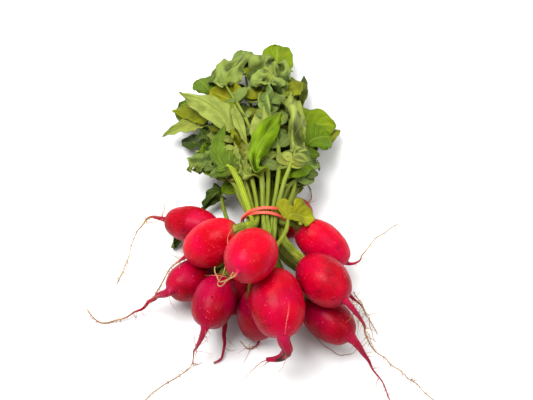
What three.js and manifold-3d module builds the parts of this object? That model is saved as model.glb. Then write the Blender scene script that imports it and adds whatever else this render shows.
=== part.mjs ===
// A tied bunch of red radishes lying on its side: thirteen roots, the leafy top of each one, and the
// rubber band round the neck. Millimetres, +Z up. The leaves run along +Y and the roots fan out along -Y.
// Inside the design the neck's axis passes over x = 0, y = 0; the last line centres the whole footprint.
import * as THREE from 'three';
import { mergeVertices } from 'three/addons/utils/BufferGeometryUtils.js';
import Module from 'manifold-3d';

const wasm = await Module();
wasm.setup();

// ---- Driving dimensions -------------------------------------------------------------------------
const NECK_HEIGHT = 44;          // axis of the tied neck above the surface
const NECK_PLACE = -6;           // where the band sits along the neck
const INNER_SEATS = 3;           // leafy tops in the middle of the neck
const OUTER_SEATS = 10;          // leafy tops round them
const INNER_SEAT_RADIUS = 4.3;
const OUTER_SEAT_RADIUS = 11;
const STALK_RADIUS = 1.2;        // one leaf stalk
const STALK_SPREAD = 1.9;        // distance of a top's four stalks from their common middle
const CROWN_RADIUS = 4.2;        // green stub where the stalks leave the root
const CROWN_TAPER = 1.2;
const CROWN_LENGTH = 7;
const CROWN_GAP = 0.4;
const CROWN_SIDES = 6;
const STALK_SUNK = 2;            // depth of the stub below the stalks' lower ends
const STALK_ANGLES = [135, 225, 315, 45];
const BAND_RADIUS = 16.4;        // middle of the rubber
const BAND_HALF_WIDTH = 1.1;
const BAND_HALF_THICKNESS = 0.5;
const BAND_LEAD = 2.0;           // how far the two turns part along the neck
const BAND_CROSS = 0.7;          // how far one turn passes over the other
const BAND_CROSS_ANGLE = 50;     // place of the crossing, degrees from +X towards +Z
const BLADE_THICKNESS = 1.1;
const MIDRIB_DEPTH = 0.6;        // extra depth below the blade's middle at its base
const LEAF_GAP = 0.5;            // clear height between one leaf and the next
const TIED_STRETCH = 16;         // length behind the band where the stalks still run side by side
const TIED_SPREAD = 1.7;         // how much wider the neck is at the end of that stretch
const TIED_LEAVE = 0.35;         // stiffness of a stalk's bend at the crown, and at the band
const TIED_ENTER = 0.45;
const FREE_SPREAD = 0.7;         // how far the free stalks lean out from the neck
const BODY_BULGE = 0.85;         // 1 is an ellipsoid, less is fuller
const ROOT_TIP_RADIUS = 0.6;
const ROOT_TAPER = 3.5;          // how fast a taproot thins behind the tail
const ROOT_SUNK = 5;             // length of the taproot inside the body
const BLADE_BEND = 0.35;         // how far a blade keeps its stalk's heading
const BLADE_ARCH = 0.07;         // rise of its middle, as a share of its length
const CUP_START = 3;             // the cup is full from a third of the blade on
const WAVE_SHIFT = 1.7;          // phase between the waves of the two edges
const SUNK_SHARE = 0.4;          // how far the stalk runs on inside the blade's first row
const FAN_REACH = 120;
const LOWEST_SHARE = 0.15;       // height left at the fan's end, as a share of the seat's height
const HIGHEST_SHARE = 0.85;
const TIP_DROOP = 4;
const LEAST_HEIGHT = 2;

// ---- Resolution ---------------------------------------------------------------------------------
const BODY_SIDES = 12;
const BODY_RINGS = 8;
const ROOT_SIDES = 4;
const ROOT_STEPS = 12;
const STALK_SIDES = 4;
const STALK_STEPS = 3;           // from the end of the tied stretch to the blade
const TIED_STEPS = 3;            // from the crown to the band
const BAND_SIDES = 6;
const BAND_STEPS = 24;           // for each of the two turns
const SIMPLE_TO = 0.05;          // joined solids lose details finer than this
const CELL = 0.5;                // grid of the height map that the leaves are laid on
const MAP_HALF = 200;
const MAP_SIZE = (2 * MAP_HALF) / CELL;
const SAMPLE_STEP = 0.8 * CELL;
const SECTION_STEP = 0.3;        // across a stalk, as a share of its radius
const SECTION_REACH = 1.2;
const BODY_STAMP_TURNS = 90;
const BODY_STAMP_STEP = 0.03;
const SETTLE_PASSES = 8;
const TIGHTEN_PASSES = 4;
const GREATEST_LIFT = 20;
const LEAST_SHARE = 0.6;         // a stretch that is held at one end gives way only near the other
const LEAST_WEIGHT = 0.02;
const FIRST_LEVEL = -100;        // loose leaves come before or after all the others
const LAST_LEVEL = 100;
const STALK_LEVEL = 0.1;         // weight of a stalk's own place in its seat

const rad = THREE.MathUtils.degToRad;
const vec = (x, y, z) => new THREE.Vector3(x, y, z);

// ---- The thirteen radishes ----------------------------------------------------------------------
// centre of the root; heading of its tail from -Y towards +X; rise of the tail; length and width of
// the red body; seat of its leafy top in the neck; route of its taproot from the tail outwards
const RADISHES = [
  { centre: [-54, 0, 28], heading: -110, rise: -15, length: 43, width: 27, seat: 6,
    tail: 3.2, root: [[-76, 8, 22], [-86, 11, 19], [-94, 6, 14], [-99, -2, 8], [-103, -14, 3],
      [-110, -36, 1]] },
  { centre: [-37, -27, 51], heading: -80, rise: -35, length: 45, width: 32, seat: 4,
    tail: 2.5, root: [[-60, -33, 36], [-66, -37, 34], [-70, -43, 32], [-74, -48, 26], [-78, -52, 20]] },
  { centre: [-9, -51, 80], heading: -25, rise: 30, length: 42, width: 34, seat: 3,
    tail: 2.5, root: [[-19, -71, 91], [-23, -74, 92], [-28, -74, 89], [-31, -68, 83], [-32, -58, 78]] },
  { centre: [-53, -42, 22], heading: -50, rise: 25, length: 39, width: 29, seat: 1,
    tail: 4.5, root: [[-68, -56, 31], [-76, -54, 22], [-87, -57, 10], [-98, -62, 4], [-120, -66, 1],
      [-130, -55, 1]] },
  { centre: [-35, -66, 39], heading: -15, rise: 10, length: 41, width: 30, seat: 5,
    tail: 4, root: [[-41, -88, 40], [-45, -93, 30], [-49, -93, 18], [-50, -95, 8], [-53, -99, 2],
      [-74, -115, 1], [-86, -126, 1]] },
  { centre: [8, -74, 55], heading: 10, rise: 0, length: 49, width: 37, seat: 12,
    tail: 5, root: [[12, -100, 54], [15, -104, 47], [13, -105, 38], [8, -104, 31], [1, -103, 26]] },
  { centre: [-6, -69, 22], heading: 10, rise: -60, length: 40, width: 28, seat: 0,
    tail: 2.5, root: [[-4, -81, 4], [-7, -85, 2], [-12, -86, 1], [-19, -80, 1]] },
  { centre: [-24, -46, 13], heading: -15, rise: 0, length: 38, width: 28, seat: 7,
    tail: 3, root: [[-29, -67, 12], [-29, -77, 9], [-29, -86, 5], [-31, -94, 2], [-36, -97, 1]] },
  { centre: [41, -21, 38], heading: 60, rise: -25, length: 44, width: 29, seat: 11,
    tail: 3.2, root: [[59, -32, 28], [66, -30, 26], [72, -21, 22], [80, -9, 17], [88, 0, 15],
      [102, 10, 12]] },
  { centre: [40, -55, 50], heading: 40, rise: 10, length: 43, width: 33, seat: 10,
    tail: 3.5, root: [[56, -74, 53], [64, -80, 44], [69, -84, 30], [75, -90, 14], [84, -94, 4],
      [98, -105, 1], [118, -124, 1]] },
  { centre: [44, -72, 22], heading: 45, rise: 10, length: 44, width: 30, seat: 2,
    tail: 4.5, root: [[62, -90, 25], [69, -96, 16], [75, -102, 8], [82, -113, 3], [91, -132, 1]] },
  { centre: [45, -40, 13], heading: 55, rise: 10, length: 38, width: 28, seat: 9,
    tail: 3, root: [[62, -52, 15], [70, -57, 9], [75, -64, 4], [80, -75, 1]] },
  { centre: [21, 14, 13], heading: 145, rise: -15, length: 36, width: 27, seat: 8,
    tail: 3, root: [[33, 30, 8], [36, 36, 4], [36, 44, 2], [32, 56, 1]] },
];

// ---- Leaf forms ---------------------------------------------------------------------------------
// outline: half-width from the base to the tip as a share of the full half-width; cup: rise of the
// edges; ripple and waves: height and number of the edge's waves; all as shares of the half-width
const FORMS = {
  round: { outline: [0.12, 0.6, 0.92, 1, 0.97, 0.82, 0.35], cup: 0.2, ripple: 0.1, waves: 1.5 },
  lobed: { outline: [0.12, 0.6, 0.3, 0.85, 1, 0.85, 0.3], cup: 0.15, ripple: 0.15, waves: 2 },
  trefoil: { outline: [0.25, 0.9, 1, 0.7, 0.9, 0.8, 0.35], cup: 0.25, ripple: 0.12, waves: 1 },
  narrow: { outline: [0.15, 0.5, 0.9, 1, 0.9, 0.7, 0.2], cup: 0.3, ripple: 0.1, waves: 2 },
  tongue: { outline: [0.15, 0.45, 0.25, 0.7, 1, 0.9, 0.3], cup: 0.2, ripple: 0.1, waves: 2 },
  folded: { outline: [0.15, 0.6, 0.9, 1, 0.85, 0.55, 0.1], cup: -0.4, ripple: 0.12, waves: 1.5 },
  wilted: { outline: [0.2, 0.8, 1, 0.8, 0.95, 0.75, 0.3], cup: -0.2, ripple: 0.3, waves: 2.5 },
};
const SHOWN_GRID = { rows: 6, columns: 5 };
const INNER_GRID = { rows: 5, columns: 3 };

// Leaves that show, for each radish by its number: base and tip of the blade in plan, its full width,
// and its form. A top's four stalks are listed from left to right; the second and third sit lower.
// A loose leaf leaves the crown outside the band, under the other leaves or over them, and states
// its height at the base and at the tip.
const SHOWN_LEAVES = {
  1: [
    { base: [-33, 30], tip: [-48, 22], width: 14, lie: [22, 12], form: 'folded', loose: 'under' },
    { base: [-45, 12], tip: [-70, -7], width: 17, lie: [9, 4], form: 'narrow', loose: 'under' },
  ],
  2: [
    { base: [-29, 35], tip: [-31, 74], width: 12, form: 'narrow' },
    { base: [-25, 69], tip: [-68, 114], width: 22, form: 'folded' },
    { base: [-23, 31], tip: [-21, 50], width: 14, form: 'narrow' },
    { base: [-14, 51], tip: [-26, 68], width: 14, form: 'folded' },
  ],
  3: [
    { base: [-14, 57], tip: [-25, 97], width: 8, form: 'narrow' },
    { base: [-9, 20], tip: [-16, 36], width: 12, form: 'wilted' },
    { base: [-3, 50], tip: [-2, 88], width: 14, form: 'round' },
    { base: [1, 20], tip: [13, 84], width: 16, form: 'tongue' },
  ],
  4: [
    { base: [-44, 86], tip: [-82, 87], width: 13, form: 'narrow' },
    { base: [-32, 36], tip: [-47, 70], width: 13, form: 'narrow' },
    { base: [-41, 65], tip: [-44, 92], width: 16, form: 'narrow' },
    { base: [-17, 151], tip: [-19, 175], width: 19, form: 'round' },
  ],
  5: [
    { base: [-41, 46], tip: [-58, 54], width: 22, form: 'wilted' },
    { base: [-39, 88], tip: [-74, 105], width: 25, form: 'folded' },
    { base: [-44, 118], tip: [-54, 136], width: 21, form: 'round' },
    { base: [-25, 104], tip: [-44, 119], width: 28, form: 'round' },
  ],
  6: [
    { base: [4, 82], tip: [0, 110], width: 15, form: 'round' },
    { base: [16, -14], tip: [35, -9], width: 25, lie: [62, 46], form: 'trefoil', loose: 'over' },
    { base: [13, 21], tip: [35, 38], width: 15, form: 'tongue' },
    { base: [21, 40], tip: [19, 112], width: 13, form: 'wilted' },
  ],
  7: [
    { base: [-31, 118], tip: [-15, 160], width: 28, form: 'wilted' },
    { base: [12, 102], tip: [-28, 112], width: 20, form: 'narrow' },
    { base: [-8, 128], tip: [-8, 160], width: 20, form: 'round' },
    { base: [3, 111], tip: [8, 155], width: 34, form: 'wilted' },
  ],
  8: [
    { base: [-46, 71], tip: [-67, 90], width: 16, form: 'lobed' },
  ],
  9: [
    { base: [26, 36], tip: [39, 53], width: 18, form: 'lobed' },
    { base: [32, 63], tip: [51, 77], width: 30, form: 'round' },
  ],
  10: [
    { base: [17, 72], tip: [18, 108], width: 15, form: 'narrow' },
    { base: [22, 111], tip: [23, 146], width: 15, form: 'round' },
    { base: [21, 45], tip: [32, 67], width: 18, form: 'wilted' },
    { base: [28, 83], tip: [57, 98], width: 30, form: 'round' },
  ],
  11: [
    { base: [9, 139], tip: [10, 181], width: 27, form: 'round' },
    { base: [13, 106], tip: [10, 135], width: 22, form: 'round' },
    { base: [28, 110], tip: [32, 148], width: 7, form: 'narrow' },
  ],
};

// ---- Leaves inside the bundle -------------------------------------------------------------------
// Leaves that the shown ones cover: each top that leaves the neck low down has a share of the fan.
const INNER_LEAVES = 3;
const INNER_SEED = 7;
const INNER_FANS = {
  1: [-46, -28], 8: [-38, -12], 9: [14, 8], 12: [10, 25], 13: [-18, 4],
};                               // headings from +Y towards +X
const INNER_REACHES = [92, 62, 78, 104];
const INNER_REACH_DRAW = 8;
const INNER_BLADE = [30, 42];    // blade length
const INNER_WIDTH = [26, 34];
const INNER_TURN = 1.2;
const INNER_FORMS = ['lobed', 'round', 'narrow'];

function seededRandom(seed) {
  let state = seed;
  return () => {
    state = (state * 16807) % 2147483647;
    return state / 2147483647;
  };
}
const random = seededRandom(INNER_SEED);
const between = ([low, high]) => low + (high - low) * random();

// ---- Solids and meshes --------------------------------------------------------------------------
function toSolid(geometry) {
  geometry.deleteAttribute('normal');
  geometry.deleteAttribute('uv');
  const merged = mergeVertices(geometry, 1e-4);
  const vertProperties = Float32Array.from(merged.attributes.position.array);
  const triVerts = Uint32Array.from(merged.index.array);
  return new wasm.Manifold(new wasm.Mesh({ numProp: 3, vertProperties, triVerts }));
}

// The outer body alone: what joining seals inside is filled, and loose scraps are left out.
function outerBody(solid) {
  return solid.decompose().reduce((best, next) => (next.volume() > best.volume() ? next : best));
}

function toGeometry(solid) {
  const { vertProperties, triVerts } = solid.getMesh();
  const geometry = new THREE.BufferGeometry();
  geometry.setAttribute('position', new THREE.BufferAttribute(vertProperties, 3));
  geometry.setIndex(new THREE.BufferAttribute(triVerts, 1));
  geometry.computeVertexNormals();
  return geometry;
}

const materials = {
  skin: new THREE.MeshStandardMaterial({ color: '#c4072f', roughness: 0.32, metalness: 0 }),
  leaf: new THREE.MeshStandardMaterial({ color: '#6f8a2c', roughness: 0.6, metalness: 0 }),
  band: new THREE.MeshStandardMaterial({ color: '#f0705f', roughness: 0.5, metalness: 0 }),
};

function namedMesh(name, solid, material) {
  const mesh = new THREE.Mesh(toGeometry(outerBody(solid.simplify(SIMPLE_TO))), material);
  mesh.name = name;
  return mesh;
}

// A round tube with a changing radius along a curve, closed at both ends and never below the surface.
function taperedTube(curve, radiusAt, sides, steps) {
  const tube = new THREE.CylinderGeometry(1, 1, 1, sides, steps);
  const frames = curve.computeFrenetFrames(steps, false);
  const position = tube.attributes.position;
  const point = vec(0, 0, 0);
  for (let i = 0; i < position.count; i += 1) {
    const step = Math.round((0.5 - position.getY(i)) * steps);
    const radius = radiusAt(step / steps);
    curve.getPoint(step / steps, point);
    point.addScaledVector(frames.normals[step], position.getX(i) * radius);
    point.addScaledVector(frames.binormals[step], position.getZ(i) * radius);
    position.setXYZ(i, point.x, point.y, Math.max(point.z, 0));
  }
  return toSolid(tube);
}

// ---- Red roots ----------------------------------------------------------------------------------
function tailDirection({ heading, rise }) {
  const flat = Math.cos(rad(rise));
  return vec(Math.sin(rad(heading)) * flat, -Math.cos(rad(heading)) * flat, Math.sin(rad(rise)));
}

function radishBody(radish) {
  const profile = [];
  for (let ring = 0; ring <= BODY_RINGS; ring += 1) {
    const angle = (Math.PI * ring) / BODY_RINGS;
    const bulge = Math.sin(angle) ** BODY_BULGE;
    const radius = ring % BODY_RINGS === 0 ? 0 : bulge * radish.width / 2;
    profile.push(new THREE.Vector2(radius, -Math.cos(angle) * radish.length / 2));
  }
  const body = new THREE.LatheGeometry(profile, BODY_SIDES);
  const turn = new THREE.Quaternion().setFromUnitVectors(vec(0, 1, 0), tailDirection(radish));
  body.applyQuaternion(turn);
  body.translate(...radish.centre);
  return toSolid(body);
}

function taproot(radish) {
  const start = vec(...radish.centre);
  start.addScaledVector(tailDirection(radish), radish.length / 2 - ROOT_SUNK);
  const route = [start, ...radish.root.map((point) => vec(...point))];
  const curve = new THREE.CatmullRomCurve3(route, false, 'centripetal');
  const radiusAt = (t) => ROOT_TIP_RADIUS + (radish.tail - ROOT_TIP_RADIUS) * (1 - t) ** ROOT_TAPER;
  return taperedTube(curve, radiusAt, ROOT_SIDES, ROOT_STEPS);
}

function aboveSurface() {
  const room = new THREE.BoxGeometry(2 * MAP_HALF, 2 * MAP_HALF, MAP_HALF);
  room.translate(0, 0, MAP_HALF / 2);
  return toSolid(room);
}

// ---- Leaf stalks --------------------------------------------------------------------------------
function seatOffset(seat) {
  const inner = seat < INNER_SEATS;
  const turn = inner ? seat / INNER_SEATS : (seat - INNER_SEATS) / OUTER_SEATS;
  const radius = inner ? INNER_SEAT_RADIUS : OUTER_SEAT_RADIUS;
  const angle = Math.PI / 2 + turn * 2 * Math.PI;
  return vec(Math.cos(angle) * radius, 0, Math.sin(angle) * radius);
}

function stalkOffset(place) {
  const angle = rad(STALK_ANGLES[place]);
  return vec(Math.cos(angle) * STALK_SPREAD, 0, Math.sin(angle) * STALK_SPREAD);
}

function crownPoint(radish) {
  return vec(...radish.centre).addScaledVector(tailDirection(radish), -radish.length / 2 - CROWN_GAP);
}

function crownStub(radish) {
  const start = crownPoint(radish);
  const end = start.clone().addScaledVector(tailDirection(radish), -CROWN_LENGTH);
  const radiusAt = (t) => CROWN_RADIUS - CROWN_TAPER * t;
  return taperedTube(new THREE.LineCurve3(start, end), radiusAt, CROWN_SIDES, 1);
}

// From the crown to the band: leaves the root along its axis and enters the neck along +Y.
function tiedCurve(radish, seatPoint, offset) {
  const away = tailDirection(radish).negate();
  const turn = new THREE.Quaternion().setFromUnitVectors(vec(0, 1, 0), away);
  const start = crownPoint(radish).addScaledVector(away, STALK_SUNK);
  start.add(offset.clone().applyQuaternion(turn));
  const reach = start.distanceTo(seatPoint);
  const leave = start.clone().addScaledVector(away, TIED_LEAVE * reach);
  const enter = seatPoint.clone().add(vec(0, -TIED_ENTER * reach, 0));
  return new THREE.CubicBezierCurve3(start, leave, enter, seatPoint);
}

// Behind the band the neck opens a little, and each stalk keeps its place in it.
function tiedEnd(seat, offset) {
  const place = seatOffset(seat).add(offset).multiplyScalar(TIED_SPREAD);
  return vec(place.x, TIED_STRETCH, NECK_HEIGHT + place.z);
}

// From the end of the tied stretch to the base of the blade.
function freeCurve(start, seat, base) {
  const reach = start.distanceTo(base);
  const spread = seatOffset(seat).multiplyScalar(FREE_SPREAD);
  const ahead = start.clone().add(vec(0, TIED_ENTER * reach, 0)).add(spread);
  return new THREE.QuadraticBezierCurve3(start, ahead, base);
}

// ---- Laying the leaves on each other ------------------------------------------------------------
// The height at which a leaf would lie by itself: the fan opens downwards from the neck, and the
// lowest seats come down to the surface at the end of it.
function restingHeight(seat, place) {
  const offset = seatOffset(seat).z;
  const level = (offset + OUTER_SEAT_RADIUS) / (2 * OUTER_SEAT_RADIUS);
  const share = THREE.MathUtils.lerp(LOWEST_SHARE, HIGHEST_SHARE, level);
  const way = Math.min(1, Math.hypot(...place) / FAN_REACH);
  return (NECK_HEIGHT + offset) * THREE.MathUtils.lerp(1, share, way);
}

function liesAt(leaf, seat) {
  const tip = Math.max(LEAST_HEIGHT, restingHeight(seat, leaf.tip) - TIP_DROOP);
  return leaf.lie ?? [restingHeight(seat, leaf.base), tip];
}

// A height map of everything laid so far. Each new leaf is raised, smoothly, until it is clear of it.
const heights = new Float32Array(MAP_SIZE * MAP_SIZE);
const cellOf = (value) => Math.floor((value + MAP_HALF) / CELL);

function stamp(x, y, top, margin) {
  for (let i = cellOf(x) - margin; i <= cellOf(x) + margin; i += 1) {
    for (let j = cellOf(y) - margin; j <= cellOf(y) + margin; j += 1) {
      heights[i * MAP_SIZE + j] = Math.max(heights[i * MAP_SIZE + j], top);
    }
  }
}

function lackAt(x, y, underside) {
  const height = heights[cellOf(x) * MAP_SIZE + cellOf(y)];
  return (height > 0 ? height + LEAF_GAP : 0) - underside;
}

function stampBody(radish) {
  const axis = tailDirection(radish);
  const side = vec(0, 0, 1).cross(axis).normalize();
  const up = axis.clone().cross(side);
  for (let turn = 0; turn < BODY_STAMP_TURNS; turn += 1) {
    const angle = (turn / BODY_STAMP_TURNS) * 2 * Math.PI;
    for (let along = -1; along <= 1; along += BODY_STAMP_STEP) {
      const radius = Math.sqrt(1 - Math.min(along * along, 1)) * radish.width / 2;
      const point = vec(...radish.centre).addScaledVector(axis, along * radish.length / 2);
      point.addScaledVector(side, Math.cos(angle) * radius);
      point.addScaledVector(up, Math.sin(angle) * radius);
      stamp(point.x, point.y, point.z, 2);
    }
  }
}

// visit(x, y, z of the axis, rise of the round section above it, share of the way) along a stalk
function sampleStretch(from, to, visit) {
  const steps = Math.ceil(from.distanceTo(to) / SAMPLE_STEP);
  const point = vec(0, 0, 0);
  for (let i = 0; i <= steps; i += 1) {
    point.lerpVectors(from, to, i / steps);
    for (let side = -SECTION_REACH; side <= SECTION_REACH; side += SECTION_STEP) {
      const rise = Math.sqrt(Math.max(0, 1 - side * side)) * STALK_RADIUS;
      visit(point.x + side * STALK_RADIUS, point.y, point.z, rise, i / steps);
    }
  }
}

// visit(x, y, z, weights of the corners) over one triangle
function sampleTriangle(a, b, c, visit) {
  const longest = Math.max(a.distanceTo(b), b.distanceTo(c), c.distanceTo(a));
  const steps = Math.max(1, Math.ceil(longest / SAMPLE_STEP));
  for (let i = 0; i <= steps; i += 1) {
    for (let j = 0; j <= steps - i; j += 1) {
      const p = i / steps;
      const q = j / steps;
      const point = a.clone().multiplyScalar(1 - p - q).addScaledVector(b, p).addScaledVector(c, q);
      visit(point.x, point.y, point.z, [1 - p - q, p, q]);
    }
  }
}

function trianglesOf(grid) {
  const list = [];
  for (let row = 0; row + 1 < grid.rows; row += 1) {
    for (let column = 0; column + 1 < grid.columns; column += 1) {
      const corner = row * grid.columns + column;
      const next = corner + grid.columns;
      list.push([corner, corner + 1, next + 1], [corner, next + 1, next]);
    }
  }
  return list;
}

// ---- Blades -------------------------------------------------------------------------------------
function outlineAt(form, t) {
  const place = t * (form.outline.length - 1);
  const index = Math.min(Math.floor(place), form.outline.length - 2);
  return THREE.MathUtils.lerp(form.outline[index], form.outline[index + 1], place - index);
}

function bladePoints(leaf, grid, start, heading, tipHeight) {
  const form = FORMS[leaf.form];
  const tip = vec(...leaf.tip, tipHeight);
  const length = start.distanceTo(tip);
  const bend = start.clone().addScaledVector(heading, BLADE_BEND * length);
  const midrib = new THREE.QuadraticBezierCurve3(start, bend, tip);
  const points = [];
  for (let row = 0; row < grid.rows; row += 1) {
    const t = row / (grid.rows - 1);
    const middle = midrib.getPoint(t);
    const along = midrib.getTangent(t);
    const across = vec(along.y, -along.x, 0).normalize();
    const half = outlineAt(form, t) * leaf.width / 2;
    for (let column = 0; column < grid.columns; column += 1) {
      const side = (2 * column) / (grid.columns - 1) - 1;
      const wave = Math.sin(2 * Math.PI * form.waves * t + WAVE_SHIFT * Math.sign(side));
      const lift = (form.cup * Math.abs(side) + form.ripple * wave * side * side) * leaf.width / 2;
      const point = middle.clone().addScaledVector(across, side * half);
      point.z += lift * Math.min(1, CUP_START * t) + BLADE_ARCH * length * Math.sin(Math.PI * t);
      points.push(point);
    }
  }
  return points;
}

// Raises the free stalk and the blade over what lies below them. The lifts of neighbouring points
// share each lack by their weight in it, and the blade's base row moves with the stalk's end.
function settle(stalk, firstFree, points, grid) {
  const last = stalk.length - 1;
  const lifts = new Array(stalk.length + points.length).fill(0);
  const slot = (index) => (index < grid.columns ? last : stalk.length + index);
  const lacks = [];
  for (let i = firstFree - 1; i < last; i += 1) {
    sampleStretch(stalk[i], stalk[i + 1], (x, y, z, rise, share) => {
      lacks.push({ lack: lackAt(x, y, z - rise), slots: [i, i + 1], weights: [1 - share, share] });
    });
  }
  trianglesOf(grid).forEach((corners) => {
    sampleTriangle(...corners.map((index) => points[index]), (x, y, z, weights) => {
      const lack = lackAt(x, y, z - BLADE_THICKNESS / 2 - MIDRIB_DEPTH);
      lacks.push({ lack, slots: corners.map(slot), weights });
    });
  });
  const wanting = lacks.filter(({ lack }) => lack > 0);
  for (let pass = 0; pass < SETTLE_PASSES; pass += 1) {
    wanting.forEach(({ lack, slots, weights }) => shareLack(lack, slots, weights, lifts, firstFree));
  }
  for (let pass = 0; pass < TIGHTEN_PASSES; pass += 1) tighten(wanting, lifts, firstFree);
  points.forEach((point, index) => {
    point.z += lifts[slot(index)];
  });
  stalk.forEach((point, index) => {
    point.z += lifts[index];
  });
}

function shareLack(lack, slots, weights, lifts, firstFree) {
  let reached = 0;
  let share = 0;
  let power = 0;
  slots.forEach((index, corner) => {
    reached += weights[corner] * lifts[index];
    share += index >= firstFree ? weights[corner] : 0;
    power += index >= firstFree ? weights[corner] ** 2 : 0;
  });
  if (reached >= lack || share < LEAST_SHARE || lack > GREATEST_LIFT) return;
  slots.forEach((index, corner) => {
    if (index >= firstFree) lifts[index] += (lack - reached) * Math.min(1, weights[corner] / power);
  });
}

function stampLeaf(stalk, points, grid) {
  for (let i = 0; i + 1 < stalk.length; i += 1) {
    sampleStretch(stalk[i], stalk[i + 1], (x, y, z, rise) => stamp(x, y, z + rise, 0));
  }
  trianglesOf(grid).forEach((corners) => {
    sampleTriangle(...corners.map((index) => points[index]), (x, y, z) => {
      stamp(x, y, z + BLADE_THICKNESS / 2, 1);
    });
  });
}

// Lets each point down again as far as the lacks that it takes part in allow.
function tighten(wanting, lifts, firstFree) {
  const touching = lifts.map(() => []);
  wanting.forEach((entry) => {
    if (entry.lack > GREATEST_LIFT) return;
    entry.slots.forEach((index, corner) => {
      const weight = entry.weights[corner];
      if (index >= firstFree && weight > LEAST_WEIGHT) touching[index].push([entry, weight]);
    });
  });
  touching.forEach((entries, index) => {
    let spare = lifts[index];
    entries.forEach(([{ lack, slots, weights }, weight]) => {
      const reached = slots.reduce((sum, other, corner) => sum + weights[corner] * lifts[other], 0);
      spare = Math.min(spare, Math.max(0, reached - lack) / weight);
    });
    lifts[index] -= spare;
  });
}

// A thin closed sheet: the same triangles above and below, joined round the edge.
function sheetSolid(points, grid) {
  const count = points.length;
  const vertices = [];
  points.forEach((point) => {
    vertices.push(point.x, point.y, point.z + BLADE_THICKNESS / 2);
  });
  points.forEach((point, index) => {
    const row = Math.floor(index / grid.columns);
    const middle = index % grid.columns === (grid.columns - 1) / 2;
    const rib = middle ? MIDRIB_DEPTH * (1 - row / (grid.rows - 1)) : 0;
    vertices.push(point.x, point.y, point.z - BLADE_THICKNESS / 2 - rib);
  });
  const faces = [];
  trianglesOf(grid).forEach(([a, b, c]) => {
    faces.push(a, b, c, c + count, b + count, a + count);
  });
  edgeOf(grid).forEach(([from, to]) => {
    faces.push(from, from + count, to + count, from, to + count, to);
  });
  const sheet = new THREE.BufferGeometry();
  sheet.setAttribute('position', new THREE.Float32BufferAttribute(vertices, 3));
  sheet.setIndex(faces);
  return toSolid(sheet);
}

// The sheet's border as pairs of neighbouring points, in the turning sense of its upper triangles.
function edgeOf({ rows, columns }) {
  const loop = [];
  for (let column = 0; column < columns - 1; column += 1) loop.push(column);
  for (let row = 0; row < rows - 1; row += 1) loop.push(row * columns + columns - 1);
  for (let column = columns - 1; column > 0; column -= 1) loop.push((rows - 1) * columns + column);
  for (let row = rows - 1; row > 0; row -= 1) loop.push(row * columns);
  return loop.map((from, index) => [from, loop[(index + 1) % loop.length]]);
}

// ---- Leafy tops ---------------------------------------------------------------------------------
function innerLeaf(number, place) {
  const [from, to] = INNER_FANS[number];
  const heading = rad(THREE.MathUtils.lerp(from, to, place / (INNER_LEAVES - 1)));
  const usual = INNER_REACHES[(place + number) % INNER_REACHES.length];
  const reach = usual + INNER_REACH_DRAW * (random() - 0.5);
  const blade = between(INNER_BLADE);
  const turn = heading * INNER_TURN;
  const base = [Math.sin(heading) * reach, Math.cos(heading) * reach];
  const tip = [base[0] + Math.sin(turn) * blade, base[1] + Math.cos(turn) * blade];
  const form = INNER_FORMS[Math.floor(random() * INNER_FORMS.length)];
  return { base, tip, width: between(INNER_WIDTH), form };
}

// The stalk's points from the crown to the blade, and the first of them that may be raised.
function stalkPoints(radish, leaf, index) {
  const offset = stalkOffset(index);
  const base = vec(...leaf.base, liesAt(leaf, radish.seat)[0]);
  if (leaf.loose) {
    const stalk = tiedCurve(radish, base, offset).getPoints(TIED_STEPS + STALK_STEPS);
    return { stalk, firstFree: stalk.length - 1 };
  }
  const seatPoint = vec(0, NECK_PLACE, NECK_HEIGHT).add(seatOffset(radish.seat)).add(offset);
  const end = tiedEnd(radish.seat, offset);
  const stalk = [...tiedCurve(radish, seatPoint, offset).getPoints(TIED_STEPS),
    ...freeCurve(end, radish.seat, base).getPoints(STALK_STEPS)];
  return { stalk, firstFree: TIED_STEPS + 2 };
}

function leafSolid({ radish, leaf, index, grid }) {
  const { stalk, firstFree } = stalkPoints(radish, leaf, index);
  const last = stalk.length - 1;
  const heading = stalk[last].clone().sub(stalk[last - 1]).setZ(0).normalize();
  const points = bladePoints(leaf, grid, stalk[last], heading, liesAt(leaf, radish.seat)[1]);
  if (leaf.loose !== 'under') settle(stalk, firstFree, points, grid);
  stampLeaf(stalk, points, grid);
  const middle = (grid.columns - 1) / 2;
  const sunk = stalk[last].clone().lerp(points[grid.columns + middle], SUNK_SHARE);
  const line = new THREE.CatmullRomCurve3([...stalk, sunk], false, 'centripetal');
  const tube = taperedTube(line, () => STALK_RADIUS, STALK_SIDES, stalk.length);
  return tube.add(sheetSolid(points, grid));
}

// Every leaf of every top, lowest first: the under leaves, then by seat, then those over the band.
function leavesInOrder() {
  const levels = { under: FIRST_LEVEL, over: LAST_LEVEL };
  const list = RADISHES.flatMap((radish, place) => {
    const shown = SHOWN_LEAVES[place + 1] ?? [];
    const count = Math.max(shown.length, INNER_LEAVES);
    return Array.from({ length: count }, (unused, index) => {
      const leaf = shown[index] ?? innerLeaf(place + 1, index);
      const grid = shown[index] ? SHOWN_GRID : INNER_GRID;
      const ownLevel = seatOffset(radish.seat).z + STALK_LEVEL * stalkOffset(index).z;
      return { radish, index, number: place + 1, leaf, grid, level: levels[leaf.loose] ?? ownLevel };
    });
  });
  return list.sort((a, b) => a.level - b.level);
}

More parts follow.
